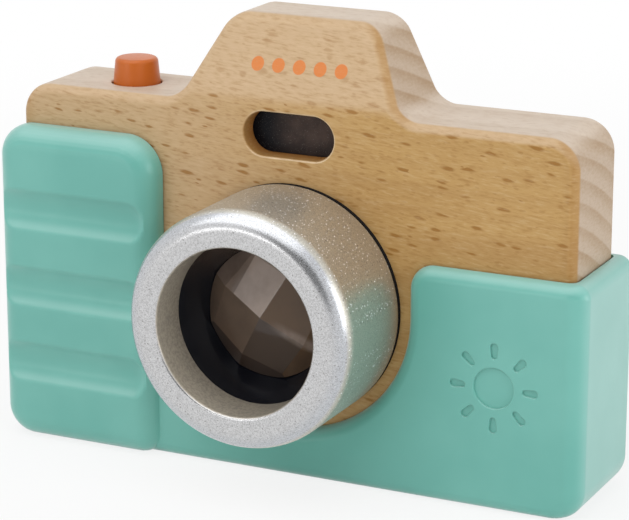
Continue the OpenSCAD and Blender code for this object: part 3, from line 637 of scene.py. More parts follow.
class Finish(Nodes):
    """A material that is put together from nodes on the piece's own coordinates."""

    def __init__(self, name, **sockets):
        self.material = bpy.data.materials.new(name)
        self.material.use_nodes = True
        super().__init__(self.material.node_tree)
        self.shader = self.tree.nodes["Principled BSDF"]
        self.coordinates = self.add("TexCoord").outputs["Object"]
        self.wear(**sockets)

    def wear(self, **sockets):
        """Sets the shader's sockets, with spaces in their names written as underscores."""
        for name, value in sockets.items():
            self.feed(self.shader.inputs[name.replace("_", " ")], value)

    def place(self):
        """The three parts of the piece's coordinates."""
        return self.add("SeparateXYZ", {0: self.coordinates}).outputs

    def facing(self):
        """The three parts of the surface's direction."""
        return self.add("SeparateXYZ", {0: self.add("NewGeometry").outputs["Normal"]}).outputs

    def reach(self, start, direction):
        """How far the surface lies from a point, along a direction."""
        return self.measure("DOT_PRODUCT", self.vector("SUBTRACT", self.coordinates, start), direction)

    def measured(self, x, y, z, tilt=0.0, start=(0, 0, 0)):
        """The piece's coordinates counted in grains of x, y and z millimetres, tilted in the front view."""
        inputs = {
            "Vector": self.coordinates,
            "Location": [part * MM for part in start],
            "Rotation": (0, math.radians(tilt), 0),
            "Scale": (x * MM, y * MM, z * MM),
        }
        return self.add("Mapping", inputs, vector_type="TEXTURE").outputs[0]

    def cubed(self, grain, start=(0, 0, 0)):
        """The piece's coordinates counted in grains of the same size all round."""
        return self.measured(grain, grain, grain, start=start)

    def warped(self, vector, amount, scale):
        """Coordinates that are pushed about by soft noise."""
        push = self.add("TexNoise", {"Vector": vector, "Scale": scale, "Detail": 1.0}).outputs["Color"]
        return self.vector("MULTIPLY_ADD", push, (amount, amount, amount), vector)

    def noise(self, vector, detail=2.0, roughness=0.5):
        """Soft noise from 0 to 1."""
        inputs = {"Vector": vector, "Scale": 1.0, "Detail": detail, "Roughness": roughness}
        return self.add("TexNoise", inputs).outputs[0]

    def flecks(self, vector, kept, reach):
        """Scattered flecks: a share of the cells is kept, each with a reach of its own."""
        cells = self.add("TexVoronoi", {"Vector": vector, "Scale": 1.0}).outputs
        number = self.add("SeparateColor", {0: cells["Color"]}).outputs[0]
        size = self.ease(number, 1 - kept, 1.0, 0.001, reach)
        return self.ease(cells["Distance"], size, self.times(size, 0.45))

    def bump(self, height, strength, distance, normal=None):
        """Small relief from a height in millimetres, on top of another normal where one is given."""
        inputs = {"Strength": strength, "Distance": distance * MM, "Height": height}
        if normal is not None:
            inputs["Normal"] = normal
        return self.add("Bump", inputs).outputs[0]


def growth_rings(f):
    """The late wood of each year, from 0 to 1, dark on the side away from the heart."""
    heart = (0, -42, -27)
    closeness = 71.4
    rings = f.add(
        "TexWave",
        {"Vector": f.cubed(1000, start=heart), "Scale": closeness, "Distortion": 0.5},
        wave_type="RINGS",
        rings_direction="X",
        wave_profile="SAW",
    ).outputs["Fac"]
    return f.times(f.ease(rings, 0.15, 0.88), f.ease(rings, 1.0, 0.88))


def finder_walls(f, place):
    """Where the surface is a wall of the viewfinder, how deep it lies there for the painted shade of the
    walls, and a painted highlight along the slot's rim.
    """
    low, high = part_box("viewfinder_front_window")
    wood_low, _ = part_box("wood_body")
    middle = (low + high) / 2
    half = (high.z - low.z) / 2
    edge = half + 0.3 * MM
    beside = f.minus(f.size(f.minus(place[0], middle.x)), (high.x - low.x) / 2 - half)
    out = f.slant(f.larger(beside, 0.0), f.minus(place[2], middle.z))
    inside = f.ease(out, edge, edge - 0.1 * MM)
    # How deep the wall lies, for the painted shade that browns it deeper in
    deep = f.ease(place[1], wood_low.y, low.y)
    # A painted highlight along the slot's rim, weaker toward the left and only at the front
    rim = f.ease(f.size(f.minus(out, edge)), 0.22 * MM, 0.08 * MM, 0.0, 0.65)
    rim = f.times(rim, f.ease(place[0], low.x - 0.5 * MM, low.x + 3 * MM, 0.15, 1.0))
    rim = f.times(rim, f.ease(place[1], wood_low.y + 0.7 * MM, wood_low.y + 0.3 * MM))
    return inside, deep, rim


def printed_dots(f, block, place, ahead):
    """A row of round dots on the front of the hump, from 0 to 1."""
    half_row = block.dot_count / 2
    radius = block.dot_diameter / 2 / block.dot_pitch
    soft = 0.02
    run = f.math("DIVIDE", f.minus(place[0], block.dot_middle), block.dot_pitch)
    across = f.minus(f.math("FRACT", f.math("ADD", run, half_row)), 0.5)
    up = f.math("DIVIDE", f.minus(place[2], block.dot_height), block.dot_pitch)
    dot = f.ease(f.slant(across, up), radius + soft, radius - soft)
    return f.times(dot, f.math("LESS_THAN", f.size(run), half_row), f.math("LESS_THAN", ahead, -0.5))


def beech(block, colours):
    """Oiled beech: fibres and ray flecks, growth rings on its ends and dots printed on the hump, with painted
    light where it faces up, painted shade on its right-facing edges, its ends and the viewfinder's slot, and
    a painted highlight on the slot's rim.
    """
    f = Finish("beech", Specular_IOR_Level=0.32)
    _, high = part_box("wood_body")
    end_start, end_stop = high.x - 2 * block.edge_radius, high.x - block.edge_radius / 2
    pale_start, pale_stop = 25 * MM, -35 * MM
    right, ahead, above = f.facing()
    place = f.place()
    facing = f.size(ahead)
    late = f.times(growth_rings(f), f.ease(above, 0.4, 0.95, 1.0, 0.25))
    bands = f.noise(f.measured(80, 16, 9), detail=2)
    fibres = f.noise(f.warped(f.measured(2.4, 1.2, 0.4, tilt=5), 1.2, 0.3), detail=3, roughness=0.6)
    fuzz = f.noise(f.measured(0.5, 0.5, 0.25), detail=2)

    # Oil on the front, paler toward the left, with painted light where it faces up and painted shade on the
    # upright edges that face right and toward both ends
    front = f.mix(f.ease(bands, 0.35, 0.7), colours.beech_front, colours.beech_deep)
    front = f.mix(f.times(late, 0.25), front, colours.beech_deep)
    front = f.mix(f.ease(place[0], pale_start, pale_stop, 0.0, 0.75), front, colours.beech_pale_and_lit)
    # Painted light where the front faces up, on the hump and the top edges
    lit = f.times(f.ease(above, 0.05, 0.42), f.ease(bands, 0.2, 0.6, 0.75, 1.0))
    front_lit_and_shaded = f.mix(lit, front, colours.beech_pale_and_lit)
    # Painted shade on the upright edges that face right and toward both ends
    end = f.ease(f.size(place[0]), end_start, end_stop, 0.0, 0.5)
    edge_shade = f.times(f.larger(f.ease(right, 0.04, 0.5), end), f.ease(bands, 0.3, 0.6, 0.5, 0.85))
    front_lit_and_shaded = f.mix(edge_shade, front_lit_and_shaded, colours.beech_shade)

    # Paler wood on the sides and the top, with painted shade on the ends
    side = f.mix(f.ease(f.size(right), 0.5, 0.9, 0.0, 0.42), colours.beech_side, colours.beech_ring_and_end_shade)
    side = f.mix(f.times(late, f.ease(bands, 0.2, 0.8, 0.4, 0.7)), side, colours.beech_ring_and_end_shade)

    # Painted shade on the viewfinder slot's walls, browner deeper in, and a painted highlight on its rim
    inside, deep, rim = finder_walls(f, place)
    front_lit_and_shaded = f.mix(inside, front_lit_and_shaded, f.mix(deep, colours.beech_shade, colours.beech_slot_shade))
    front_lit_and_shaded = f.mix(rim, front_lit_and_shaded, colours.beech_highlight_and_streak)
    tan = f.larger(f.ease(facing, 0.1, 0.42), f.larger(inside, rim))
    wood = f.mix(tan, side, front_lit_and_shaded)

    # Ray flecks, blotches and fibres
    shown = f.ease(facing, 0.2, 0.9, 0.05, 1.0)
    weak = f.flecks(f.warped(f.measured(1.9, 4.0, 0.62, tilt=6, start=(7, 3, 5)), 0.5, 1.4), 0.7, 0.5)
    wood = f.mix(f.times(weak, shown, f.ease(lit, 0.0, 1.0, 0.3, 0.12)), wood, colours.beech_fleck)
    strong = f.flecks(f.warped(f.measured(4.3, 6.0, 1.2, tilt=8), 0.35, 1.6), 0.65, 0.46)
    wood = f.mix(f.times(strong, shown, f.ease(lit, 0.0, 1.0, 0.8, 0.3)), wood, colours.beech_fleck)
    blotch = f.flecks(f.warped(f.measured(3.6, 6.0, 2.6, start=(5, 1, 2)), 0.3, 1.5), 0.5, 0.45)
    wood = f.mix(f.times(blotch, shown, lit, 0.36), wood, colours.beech_fleck)
    dark = f.times(f.ease(fibres, 0.48, 0.72), f.ease(facing, 0.2, 0.9, 0.12, 0.32))
    wood = f.mix(dark, wood, colours.beech_fleck)
    pale = f.times(f.ease(fibres, 0.48, 0.3), f.ease(facing, 0.2, 0.9, 0.1, 0.15))
    wood = f.mix(pale, wood, colours.beech_highlight_and_streak)

    dots = f.times(printed_dots(f, block, place, ahead), f.ease(fuzz, 0.2, 0.5, 0.75, 0.95))
    f.wear(Base_Color=f.mix(dots, wood, colours.print_orange))
    f.wear(Roughness=f.ease(fibres, 0.3, 0.8, 0.42, 0.58))
    f.wear(Normal=f.bump(fibres, 0.25, 0.06, f.bump(fuzz, 0.2, 0.03)))
    return f.material


def mint_silicone(colours):
    """Soft satin silicone with a faint unevenness, painted light and sheen where it faces up and on the pad's
    right end, and painted shade round the lens ring.
    """
    f = Finish("mint_silicone", Specular_IOR_Level=0.5, Sheen_Weight=0.38, Sheen_Roughness=0.4)
    cloud = f.noise(f.cubed(22), detail=3)
    grain = f.noise(f.cubed(0.4), detail=2)
    right, _, above = f.facing()
    place = f.place()
    _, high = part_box("silicone_sleeve")
    end_start, end_stop = high.x - 12 * MM, high.x - 4 * MM
    saddle_start, saddle_stop = 44 * MM, 26 * MM
    grip_side, lens_side = -24 * MM, -16 * MM
    # Painted light and sheen where the surface faces up and on the pad's right end
    end = f.times(f.ease(right, 0.35, 1.0, 0.0, 0.28), f.ease(place[0], end_start, end_stop))
    painted_light = f.larger(f.ease(above, 0.25, 0.9, 0.0, 0.36), end)
    # Painted shade round the lens ring, on the saddle to the right of the grip
    away = f.vector("SUBTRACT", f.coordinates, middle_of("lens_ring"))
    away = f.measure("LENGTH", f.vector("MULTIPLY", away, (1, 0, 1)))
    saddle = f.ease(away, saddle_start, saddle_stop, 0.0, 0.55)
    saddle = f.times(saddle, f.ease(place[0], grip_side, lens_side))
    tone = f.mix(f.ease(cloud, 0.3, 0.7), colours.mint, colours.mint_deep)
    tone = f.mix(saddle, tone, colours.mint_ring_shade)
    f.wear(Base_Color=f.mix(painted_light, tone, colours.mint_painted_light))
    f.wear(Roughness=f.ease(cloud, 0.3, 0.7, 0.285, 0.33))
    f.wear(Normal=f.bump(grain, 0.1, 0.03))
    return f.material


def silver_paint(lens, colours):
    """Silver paint with fine grain and sparkling flakes, worn to a dull beige inside the opening, with a
    painted reflection on its rounded edge and on its side.
    """
    f = Finish("silver_paint")
    middle = middle_of("lens_ring")
    outer = radius_of("lens_ring")
    opening = outer - lens.ring_wall
    place = f.place()
    out = f.slant(f.minus(place[0], middle.x), f.minus(place[2], middle.z))
    inside = f.ease(out, opening + 0.35 * MM, opening + 0.05 * MM)
    edge = f.ease(out, outer - 3.75 * MM, outer - 0.75 * MM)
    side = f.ease(out, outer - 0.85 * MM, outer - 0.25 * MM)

    grain = f.noise(f.cubed(0.3), detail=3, roughness=0.75)
    coarse = f.noise(f.cubed(0.6), detail=3, roughness=0.7)
    sparkle = f.flecks(f.cubed(0.48), 0.55, 0.42)
    sparkle = f.times(sparkle, f.ease(side, 0.0, 1.0, 0.3, 1.0), f.ease(inside, 0.0, 1.0, 1.0, 0.0))
    pit = f.flecks(f.cubed(0.55, start=(3, 7, 11)), 0.4, 0.42)
    # Painted reflections: cooler grey on the rounded edge and warmer grey of the wood on the side
    tone = f.mix(edge, colours.silver, colours.silver_edge_reflection)
    tone = f.mix(side, tone, colours.silver_side_reflection)
    tone = f.mix(f.ease(grain, 0.3, 0.65, 0.46, 0.0), tone, colours.silver_pit)
    tone = f.mix(f.times(pit, 0.62), tone, colours.silver_pit)
    tone = f.mix(sparkle, tone, colours.silver_flake)
    dull = f.mix(f.ease(coarse, 0.35, 0.7, 0.0, 0.5), colours.silver_worn, colours.silver_pit)
    f.wear(Base_Color=f.mix(inside, tone, dull))
    f.wear(Metallic=f.times(f.ease(inside, 0.0, 1.0, 0.8, 0.15), f.ease(sparkle, 0.0, 1.0, 1.0, 0.1)))
    f.wear(Roughness=f.ease(side, 0.0, 1.0, 0.255, 0.42))
    f.wear(Normal=f.bump(grain, 0.2, 0.04, f.bump(coarse, 0.1, 0.05)))
    return f.material


def smoked_lens(colours):
    """Smoked clear plastic with painted light and shade on its facets by the way each faces, faint haze and a
    painted highlight streak.
    """
    f = Finish("smoked_lens", IOR=1.49, Specular_IOR_Level=0.35)
    middle = middle_of("prism_lens")
    tip = Vector((middle.x, 0, middle.z))
    split_start = tip + Vector((-1.8, 0, 13.3)) * MM
    split_way = Vector((0.895, 0, -0.447))
    streak_way = Vector((0.88, 0, -0.47))
    streak_side = Vector((0.47, 0, 0.88))
    right, _, above = f.facing()
    haze = f.noise(f.cubed(5), detail=3)
    # Painted light and shade on the facets by the way each faces, half-lit across a split line on the facet
    # that faces up
    tone = f.mix(f.ease(above, -0.3, 0.05), colours.lens_dark, colours.lens_brown)
    split = f.ease(f.reach(split_start, split_way), -0.15 * MM, 0.15 * MM)
    bright = f.mix(split, colours.lens_half_lit, colours.lens_lit)
    tone = f.mix(f.ease(above, 0.16, 0.24), tone, bright)
    tone = f.mix(f.ease(right, 0.1, 0.25), tone, colours.lens_right_shade)
    # A painted highlight streak running out from the tip toward the lower right
    streak = f.ease(f.size(f.reach(tip, streak_side)), 1.7 * MM, 0.2 * MM)
    run = f.ease(f.reach(tip, streak_way), 1 * MM, 8 * MM)
    streak = f.times(streak, run, f.ease(haze, 0.3, 0.6, 0.3, 0.8))
    tone = f.mix(streak, tone, colours.lens_lit)
    f.wear(Base_Color=f.mix(f.ease(haze, 0.35, 0.75, 0.0, 0.35), tone, colours.lens_dark))
    f.wear(Roughness=f.ease(haze, 0.3, 0.7, 0.06, 0.14))
    return f.material


def smoked_funnel(colours):
    """Gloss black plastic with painted light: brown toward the top, where light comes in from above."""
    f = Finish("black_plastic_funnel")
    height = middle_of("lens_hub").z
    haze = f.noise(f.cubed(4), detail=3)
    # Painted light, brown toward the top
    lit = f.ease(f.place()[2], height + 4 * MM, height + 14 * MM, 0.0, 0.8)
    lit = f.times(lit, f.ease(haze, 0.3, 0.6, 0.6, 1.0))
    f.wear(Base_Color=f.mix(lit, colours.funnel, colours.lens_dark))
    f.wear(Roughness=f.ease(haze, 0.3, 0.7, 0.18, 0.25))
    f.wear(Normal=f.bump(haze, 0.05, 0.05))
    return f.material


def smoked_window(colours):
    """Smoked window with painted shade toward its left end and along its foot, and dust on it."""
    f = Finish("smoked_window", IOR=1.49, Specular_IOR_Level=0.12)
    low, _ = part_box("viewfinder_front_window")
    place = f.place()
    dust = f.noise(f.cubed(0.22), detail=2)
    cloud = f.noise(f.cubed(3), detail=3)
    # Painted shade toward the left end and along the foot
    end = f.ease(place[0], low.x + 3 * MM, low.x + 10 * MM)
    foot = f.ease(place[2], low.z + 0.5 * MM, low.z + 5 * MM, 0.4, 1.0)
    lit = f.times(end, foot, f.ease(cloud, 0.25, 0.7, 0.6, 1.0))
    smoke = f.mix(lit, colours.window_shade, colours.window_smoke)
    f.wear(Base_Color=f.mix(f.ease(dust, 0.6, 0.8, 0.0, 0.12), smoke, colours.cover))
    f.wear(Roughness=f.ease(dust, 0.4, 0.8, 0.3, 0.45))
    return f.material


def clear_window():
    """Clear plastic with a faint haze."""
    f = Finish("clear_window", IOR=1.49, Transmission_Weight=0.9)
    haze = f.noise(f.cubed(4), detail=3)
    f.wear(Base_Color=f.mix(haze, (0.86, 0.89, 0.9), (0.93, 0.95, 0.95)))
    f.wear(Roughness=f.ease(haze, 0.3, 0.7, 0.03, 0.09))
    return f.material


def moulded(name, colour, roughness, relief=0.1, size=0.55, metallic=0.0, specular=0.5):
    """Plastic, rubber, felt or metal with fine grain in its colour, gloss and surface."""
    clouded = 0.86
    uneven = 0.12
    f = Finish(name, Metallic=metallic, Specular_IOR_Level=specular)
    grain = f.noise(f.cubed(size), detail=3, roughness=0.6)
    cloud = f.noise(f.cubed(14), detail=2)
    darker = tuple(channel * clouded for channel in colour[:3])
    f.wear(Base_Color=f.mix(f.ease(cloud, 0.3, 0.7), colour, darker))
    f.wear(Roughness=f.ease(grain, 0.25, 0.75, roughness * (1 - uneven), roughness * (1 + uneven)))
    f.wear(Normal=f.bump(grain, relief, 0.05))
    return f.material


# Operators

class TOYCAM_OT_stage(bpy.types.Operator):
    """Sets the photograph's view, the soft light and the white floor"""

    bl_idname = "toycam.stage"
    bl_label = "Stage"

    def execute(self, context):
        scene = context.scene
        stage = scene.toy_camera.stage
        scene.view_settings.view_transform = "Standard"
        self.add_view(scene, stage)
        self.add_world(scene, stage)
        self.add_lamps(scene, stage)
        self.add_floor(scene, stage)
        return {"FINISHED"}

    def add_view(self, scene, stage):
        """The view of the photograph."""
        data = bpy.data.cameras.new("photo_view")
        data.sensor_width = 36
        data.sensor_fit = "HORIZONTAL"
        data.lens = stage.focal_length
        data.shift_x = stage.shift_x
        data.shift_y = stage.shift_y
        data.clip_start = 0.01
        view = bpy.data.objects.new("photo_view", data)
        scene.collection.objects.link(view)
        turn = Matrix.Rotation(stage.azimuth, 4, "Z") @ Matrix.Rotation(math.pi / 2 - stage.elevation, 4, "X")
        back = turn @ Vector((0, 0, stage.distance))
        view.matrix_world = Matrix.Translation(Vector((0, 0, stage.target_height)) + back) @ turn
        scene.camera = view

    def add_world(self, scene, stage):
        """Even light from all round, white where it is seen or reflected."""
        world = bpy.data.worlds.new("studio")
        world.use_nodes = True
        scene.world = world
        n = Nodes(world.node_tree)
        n.tree.nodes.clear()
        path = n.add("LightPath").outputs
        even = n.add("Background", {"Color": WHITE, "Strength": stage.ambient}).outputs[0]
        white = n.add("Background", {"Color": self.dimmed_white(n, path)}).outputs[0]
        both = n.add("MixShader", {0: self.seen_share(n, path), 1: even, 2: white}).outputs[0]
        n.add("OutputWorld", {"Surface": both})

    def dimmed_white(self, n, path):
        """White, with a dim place in front of the object where the room is reflected."""
        room_way = Vector((0.15, -0.93, 0.29)).normalized()
        room_edge, room_core = math.radians(30), math.radians(18)
        room_grey = (0.06, 0.06, 0.06)
        toward = n.measure("DOT_PRODUCT", n.add("TexCoord").outputs["Generated"], room_way)
        room = n.ease(toward, math.cos(room_edge), math.cos(room_core))
        return n.mix(n.times(room, path["Is Glossy Ray"]), WHITE, room_grey)

    def seen_share(self, n, path):
        """1 for a ray that is seen, reflected or let through, and 0 for one that lights."""
        return n.larger(n.larger(path["Is Camera Ray"], path["Is Glossy Ray"]), path["Is Transmission Ray"])

    def add_lamps(self, scene, stage):
        """A large lamp above, a smaller one on the right and a low strip in front on the left."""
        aim = Vector((0, 0, 0.04))
        for name, place, size, watts in (
            ("key", (-0.14, -0.3, 0.75), (1.0, 1.0), stage.key_power),
            ("side", (0.7, -0.1, 0.2), (0.4, 0.4), stage.side_power),
            ("strip", (-0.46, -1.0, 0.12), (0.45, 0.1), stage.strip_power),
        ):
            data = bpy.data.lights.new(name, "AREA")
            data.shape = "RECTANGLE"
            data.size, data.size_y = size
            data.energy = watts
            lamp = bpy.data.objects.new(name, data)
            scene.collection.objects.link(lamp)
            lamp.location = place
            lamp.rotation_euler = (aim - Vector(place)).to_track_quat("-Z", "Y").to_euler()

    def add_floor(self, scene, stage):
        """A wide white floor that keeps the shadow."""
        bm = bmesh.new()
        bmesh.ops.create_grid(bm, x_segments=1, y_segments=1, size=3)
        mesh = bpy.data.meshes.new("floor")
        bm.to_mesh(mesh)
        bm.free()
        floor = bpy.data.objects.new("floor", mesh)
        scene.collection.objects.link(floor)
        mesh.materials.append(self.floor_paper(stage))

    def floor_paper(self, stage):
        """White paper that takes the shadow near the object and runs out to plain white."""
        paper_grey = (0.9, 0.9, 0.9)
        material = bpy.data.materials.new("floor_white")
        material.use_nodes = True
        n = Nodes(material.node_tree)
        n.tree.nodes.clear()
        away = n.measure("LENGTH", n.add("TexCoord").outputs["Object"])
        run_out = n.ease(away, stage.shadow_reach / 4, stage.shadow_reach, stage.floor_white)
        share = n.times(self.seen_share(n, n.add("LightPath").outputs), run_out)
        paper = n.add("BsdfDiffuse", {"Color": paper_grey}).outputs[0]
        white = n.add("Emission", {"Color": WHITE}).outputs[0]
        both = n.add("MixShader", {0: share, 1: paper, 2: white}).outputs[0]
        n.add("OutputMaterial", {"Surface": both})
        return material


class TOYCAM_OT_finishes(bpy.types.Operator):
    """Gives the CAD pieces that stay their finishes"""

    bl_idname = "toycam.finishes"
    bl_label = "Finishes"

    def execute(self, context):
        colours = context.scene.toy_camera.colours
        black = moulded("black_plastic", colours.black, 0.42)
        steel = moulded("steel", (0.58, 0.58, 0.6), 0.34, relief=0.06, size=0.4, metallic=1.0)
        rubber = moulded("black_rubber", (0.02, 0.02, 0.022), 0.75, relief=0.15)
        felt = moulded("dark_felt", (0.012, 0.012, 0.014), 0.95, relief=0.5, size=0.35, specular=0.1)
        slippery = moulded("white_plastic", (0.82, 0.82, 0.79), 0.35)
        board = moulded("board_green", (0.02, 0.14, 0.05), 0.4)
        cell = moulded("cell_steel", (0.62, 0.62, 0.6), 0.25, relief=0.05, metallic=1.0)
        brass = moulded("contact_brass", (0.62, 0.5, 0.26), 0.34, relief=0.05, metallic=1.0)
        for finish, nodes in (
            (black, ("retaining_ring", "sound_case", "tact_switch", "speaker")),
            (smoked_funnel(colours), ("lens_hub",)),
            (steel, ("hub_screws", "retainer_screws", "stop_washer")),
            (rubber, ("lens_seal",)),
            (felt, ("felt_washer",)),
            (slippery, ("thrust_washer",)),
            (board, ("circuit_board",)),
            (cell, ("button_cells",)),
            (brass, ("battery_contacts",)),
            (smoked_window(colours), ("viewfinder_front_window", "viewfinder_rear_window")),
            (clear_window(), ("eyepiece_window",)),
        ):
            for node in nodes:
                dress(node, finish)
        return {"FINISHED"}


class TOYCAM_OT_wood_body(bpy.types.Operator):
    """Builds the beech block with its leaning hump and drilled holes"""

    bl_idname = "toycam.wood_body"
    bl_label = "Wood body"

    def execute(self, context):
        settings = context.scene.toy_camera
        block = settings.block
        low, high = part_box("wood_body")
        bm = slab(self.outline(block, low, high), low.y, high.y, block.edge_radius, block.edge_radius)
        self.lean_back(bm, block, low.y, high.z)
        bm = cut_from(bm, self.cuts(block))
        self.round_rims(bm, block, low.y, high.y)
        make_piece("wood_block", bm, "wood_body", beech(block, settings.colours))
        return {"FINISHED"}

    def outline(self, block, low, high):
        """The block's outline seen from the front."""
        half = [
            (high.x, low.z, block.bottom_radius),
            (high.x, block.shoulder_height, block.shoulder_radius),
            (block.hump_foot_width / 2, block.shoulder_height, block.hump_foot_radius),
            (block.hump_top_width / 2, high.z, block.hump_top_radius),
        ]
        return half + [(-x, z, radius) for x, z, radius in reversed(half)]

    def lean_back(self, bm, block, front, top):
        """Leans the hump's front back, softly at its foot."""
        rise = top - block.shoulder_height
        # Rows of points that let the start of the lean bend
        for step in (0.05, 0.2, 0.35, 0.5, 0.65, 0.8, 1.0):
            bmesh.ops.bisect_plane(
                bm,
                geom=bm.verts[:] + bm.edges[:] + bm.faces[:],
                dist=TOUCH,
                plane_co=(0, 0, block.shoulder_height + step * block.lean_start),
                plane_no=UP,
            )
        for vert in bm.verts:
            climb = vert.co.z - block.shoulder_height
            if climb <= 0 or vert.co.y > front + block.edge_radius + TOUCH:
                continue
            if climb < block.lean_start:
                climb = climb * climb / (2 * block.lean_start)
            else:
                climb -= block.lean_start / 2
            vert.co.y += block.lean * climb / (rise - block.lean_start / 2)
        bm.normal_update()

    def finder(self, ledge):
        """Outline of the viewfinder, smaller by a ledge, with ends that fall just short of half a circle."""
        low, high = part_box("viewfinder_front_window")
        gap = FIT - ledge
        radius = (high.z - low.z) / 2 + gap
        return box_corners(low.x - gap, high.x + gap, low.z - gap, high.z + gap, radius * 0.999)

    def cuts(self, block):
        """Everything that is drilled or milled into the block."""
        lens = middle_of("lens_ring")
        button = middle_of("shutter_button")
        washer_low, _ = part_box("thrust_washer")
        _, front_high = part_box("viewfinder_front_window")
        rear_low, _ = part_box("viewfinder_rear_window")
        _, stop_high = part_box("stop_washer")
        case_low, case_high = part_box("sound_case")
        cover_low, cover_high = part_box("sound_cover")
        room = block.unit_room
        hole = radius_of("shutter_button") + block.button_gap
        hole_place = Matrix.Translation((button.x, button.y, stop_high.z - FIT + THROUGH / 2))
        case = box_corners(case_low.x - room, case_high.x + room, case_low.z - room, stop_high.z + FIT)
        cover = box_corners(cover_low.x - FIT, cover_high.x + FIT, cover_low.z - FIT, cover_high.z + FIT)
        return [
            rod(lens.x, lens.z, block.lens_bore / 2, -THROUGH, THROUGH),
            rod(lens.x, lens.z, radius_of("eyepiece_rim") - block.eyepiece_ledge, washer_low.y, THROUGH),
            slab(self.finder(block.finder_ledge), -THROUGH, THROUGH),
            slab(self.finder(0), -THROUGH, front_high.y),
            slab(self.finder(0), rear_low.y, THROUGH),
            round_bar(hole, THROUGH, hole_place),
            slab(case, case_low.y - room, THROUGH),
            slab(cover, cover_low.y, THROUGH),
        ]

    def round_rims(self, bm, block, front, back):
        """Softens the rims of the viewfinder and of the button's hole."""
        low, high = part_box("viewfinder_front_window")
        middle = (low + high) / 2
        radius = (high.z - low.z) / 2 + FIT
        half = (high.x - low.x) / 2 + FIT - radius
        button = middle_of("shutter_button")
        hole = radius_of("shutter_button") + block.button_gap
        near = 0.03 * MM

        def on_finder(co):
            across = max(abs(co.x - middle.x) - half, 0)
            away = math.hypot(across, co.z - middle.z)
            return min(abs(co.y - front), abs(co.y - back)) < TOUCH and abs(away - radius) < near

        def on_hole(co):
            away = math.hypot(co.x - button.x, co.y - button.y)
            return abs(co.z - block.shoulder_height) < TOUCH and abs(away - hole) < near

        round_edges(bm, edges_where(bm, on_finder) + edges_where(bm, on_hole), block.rim_radius, segments=4)


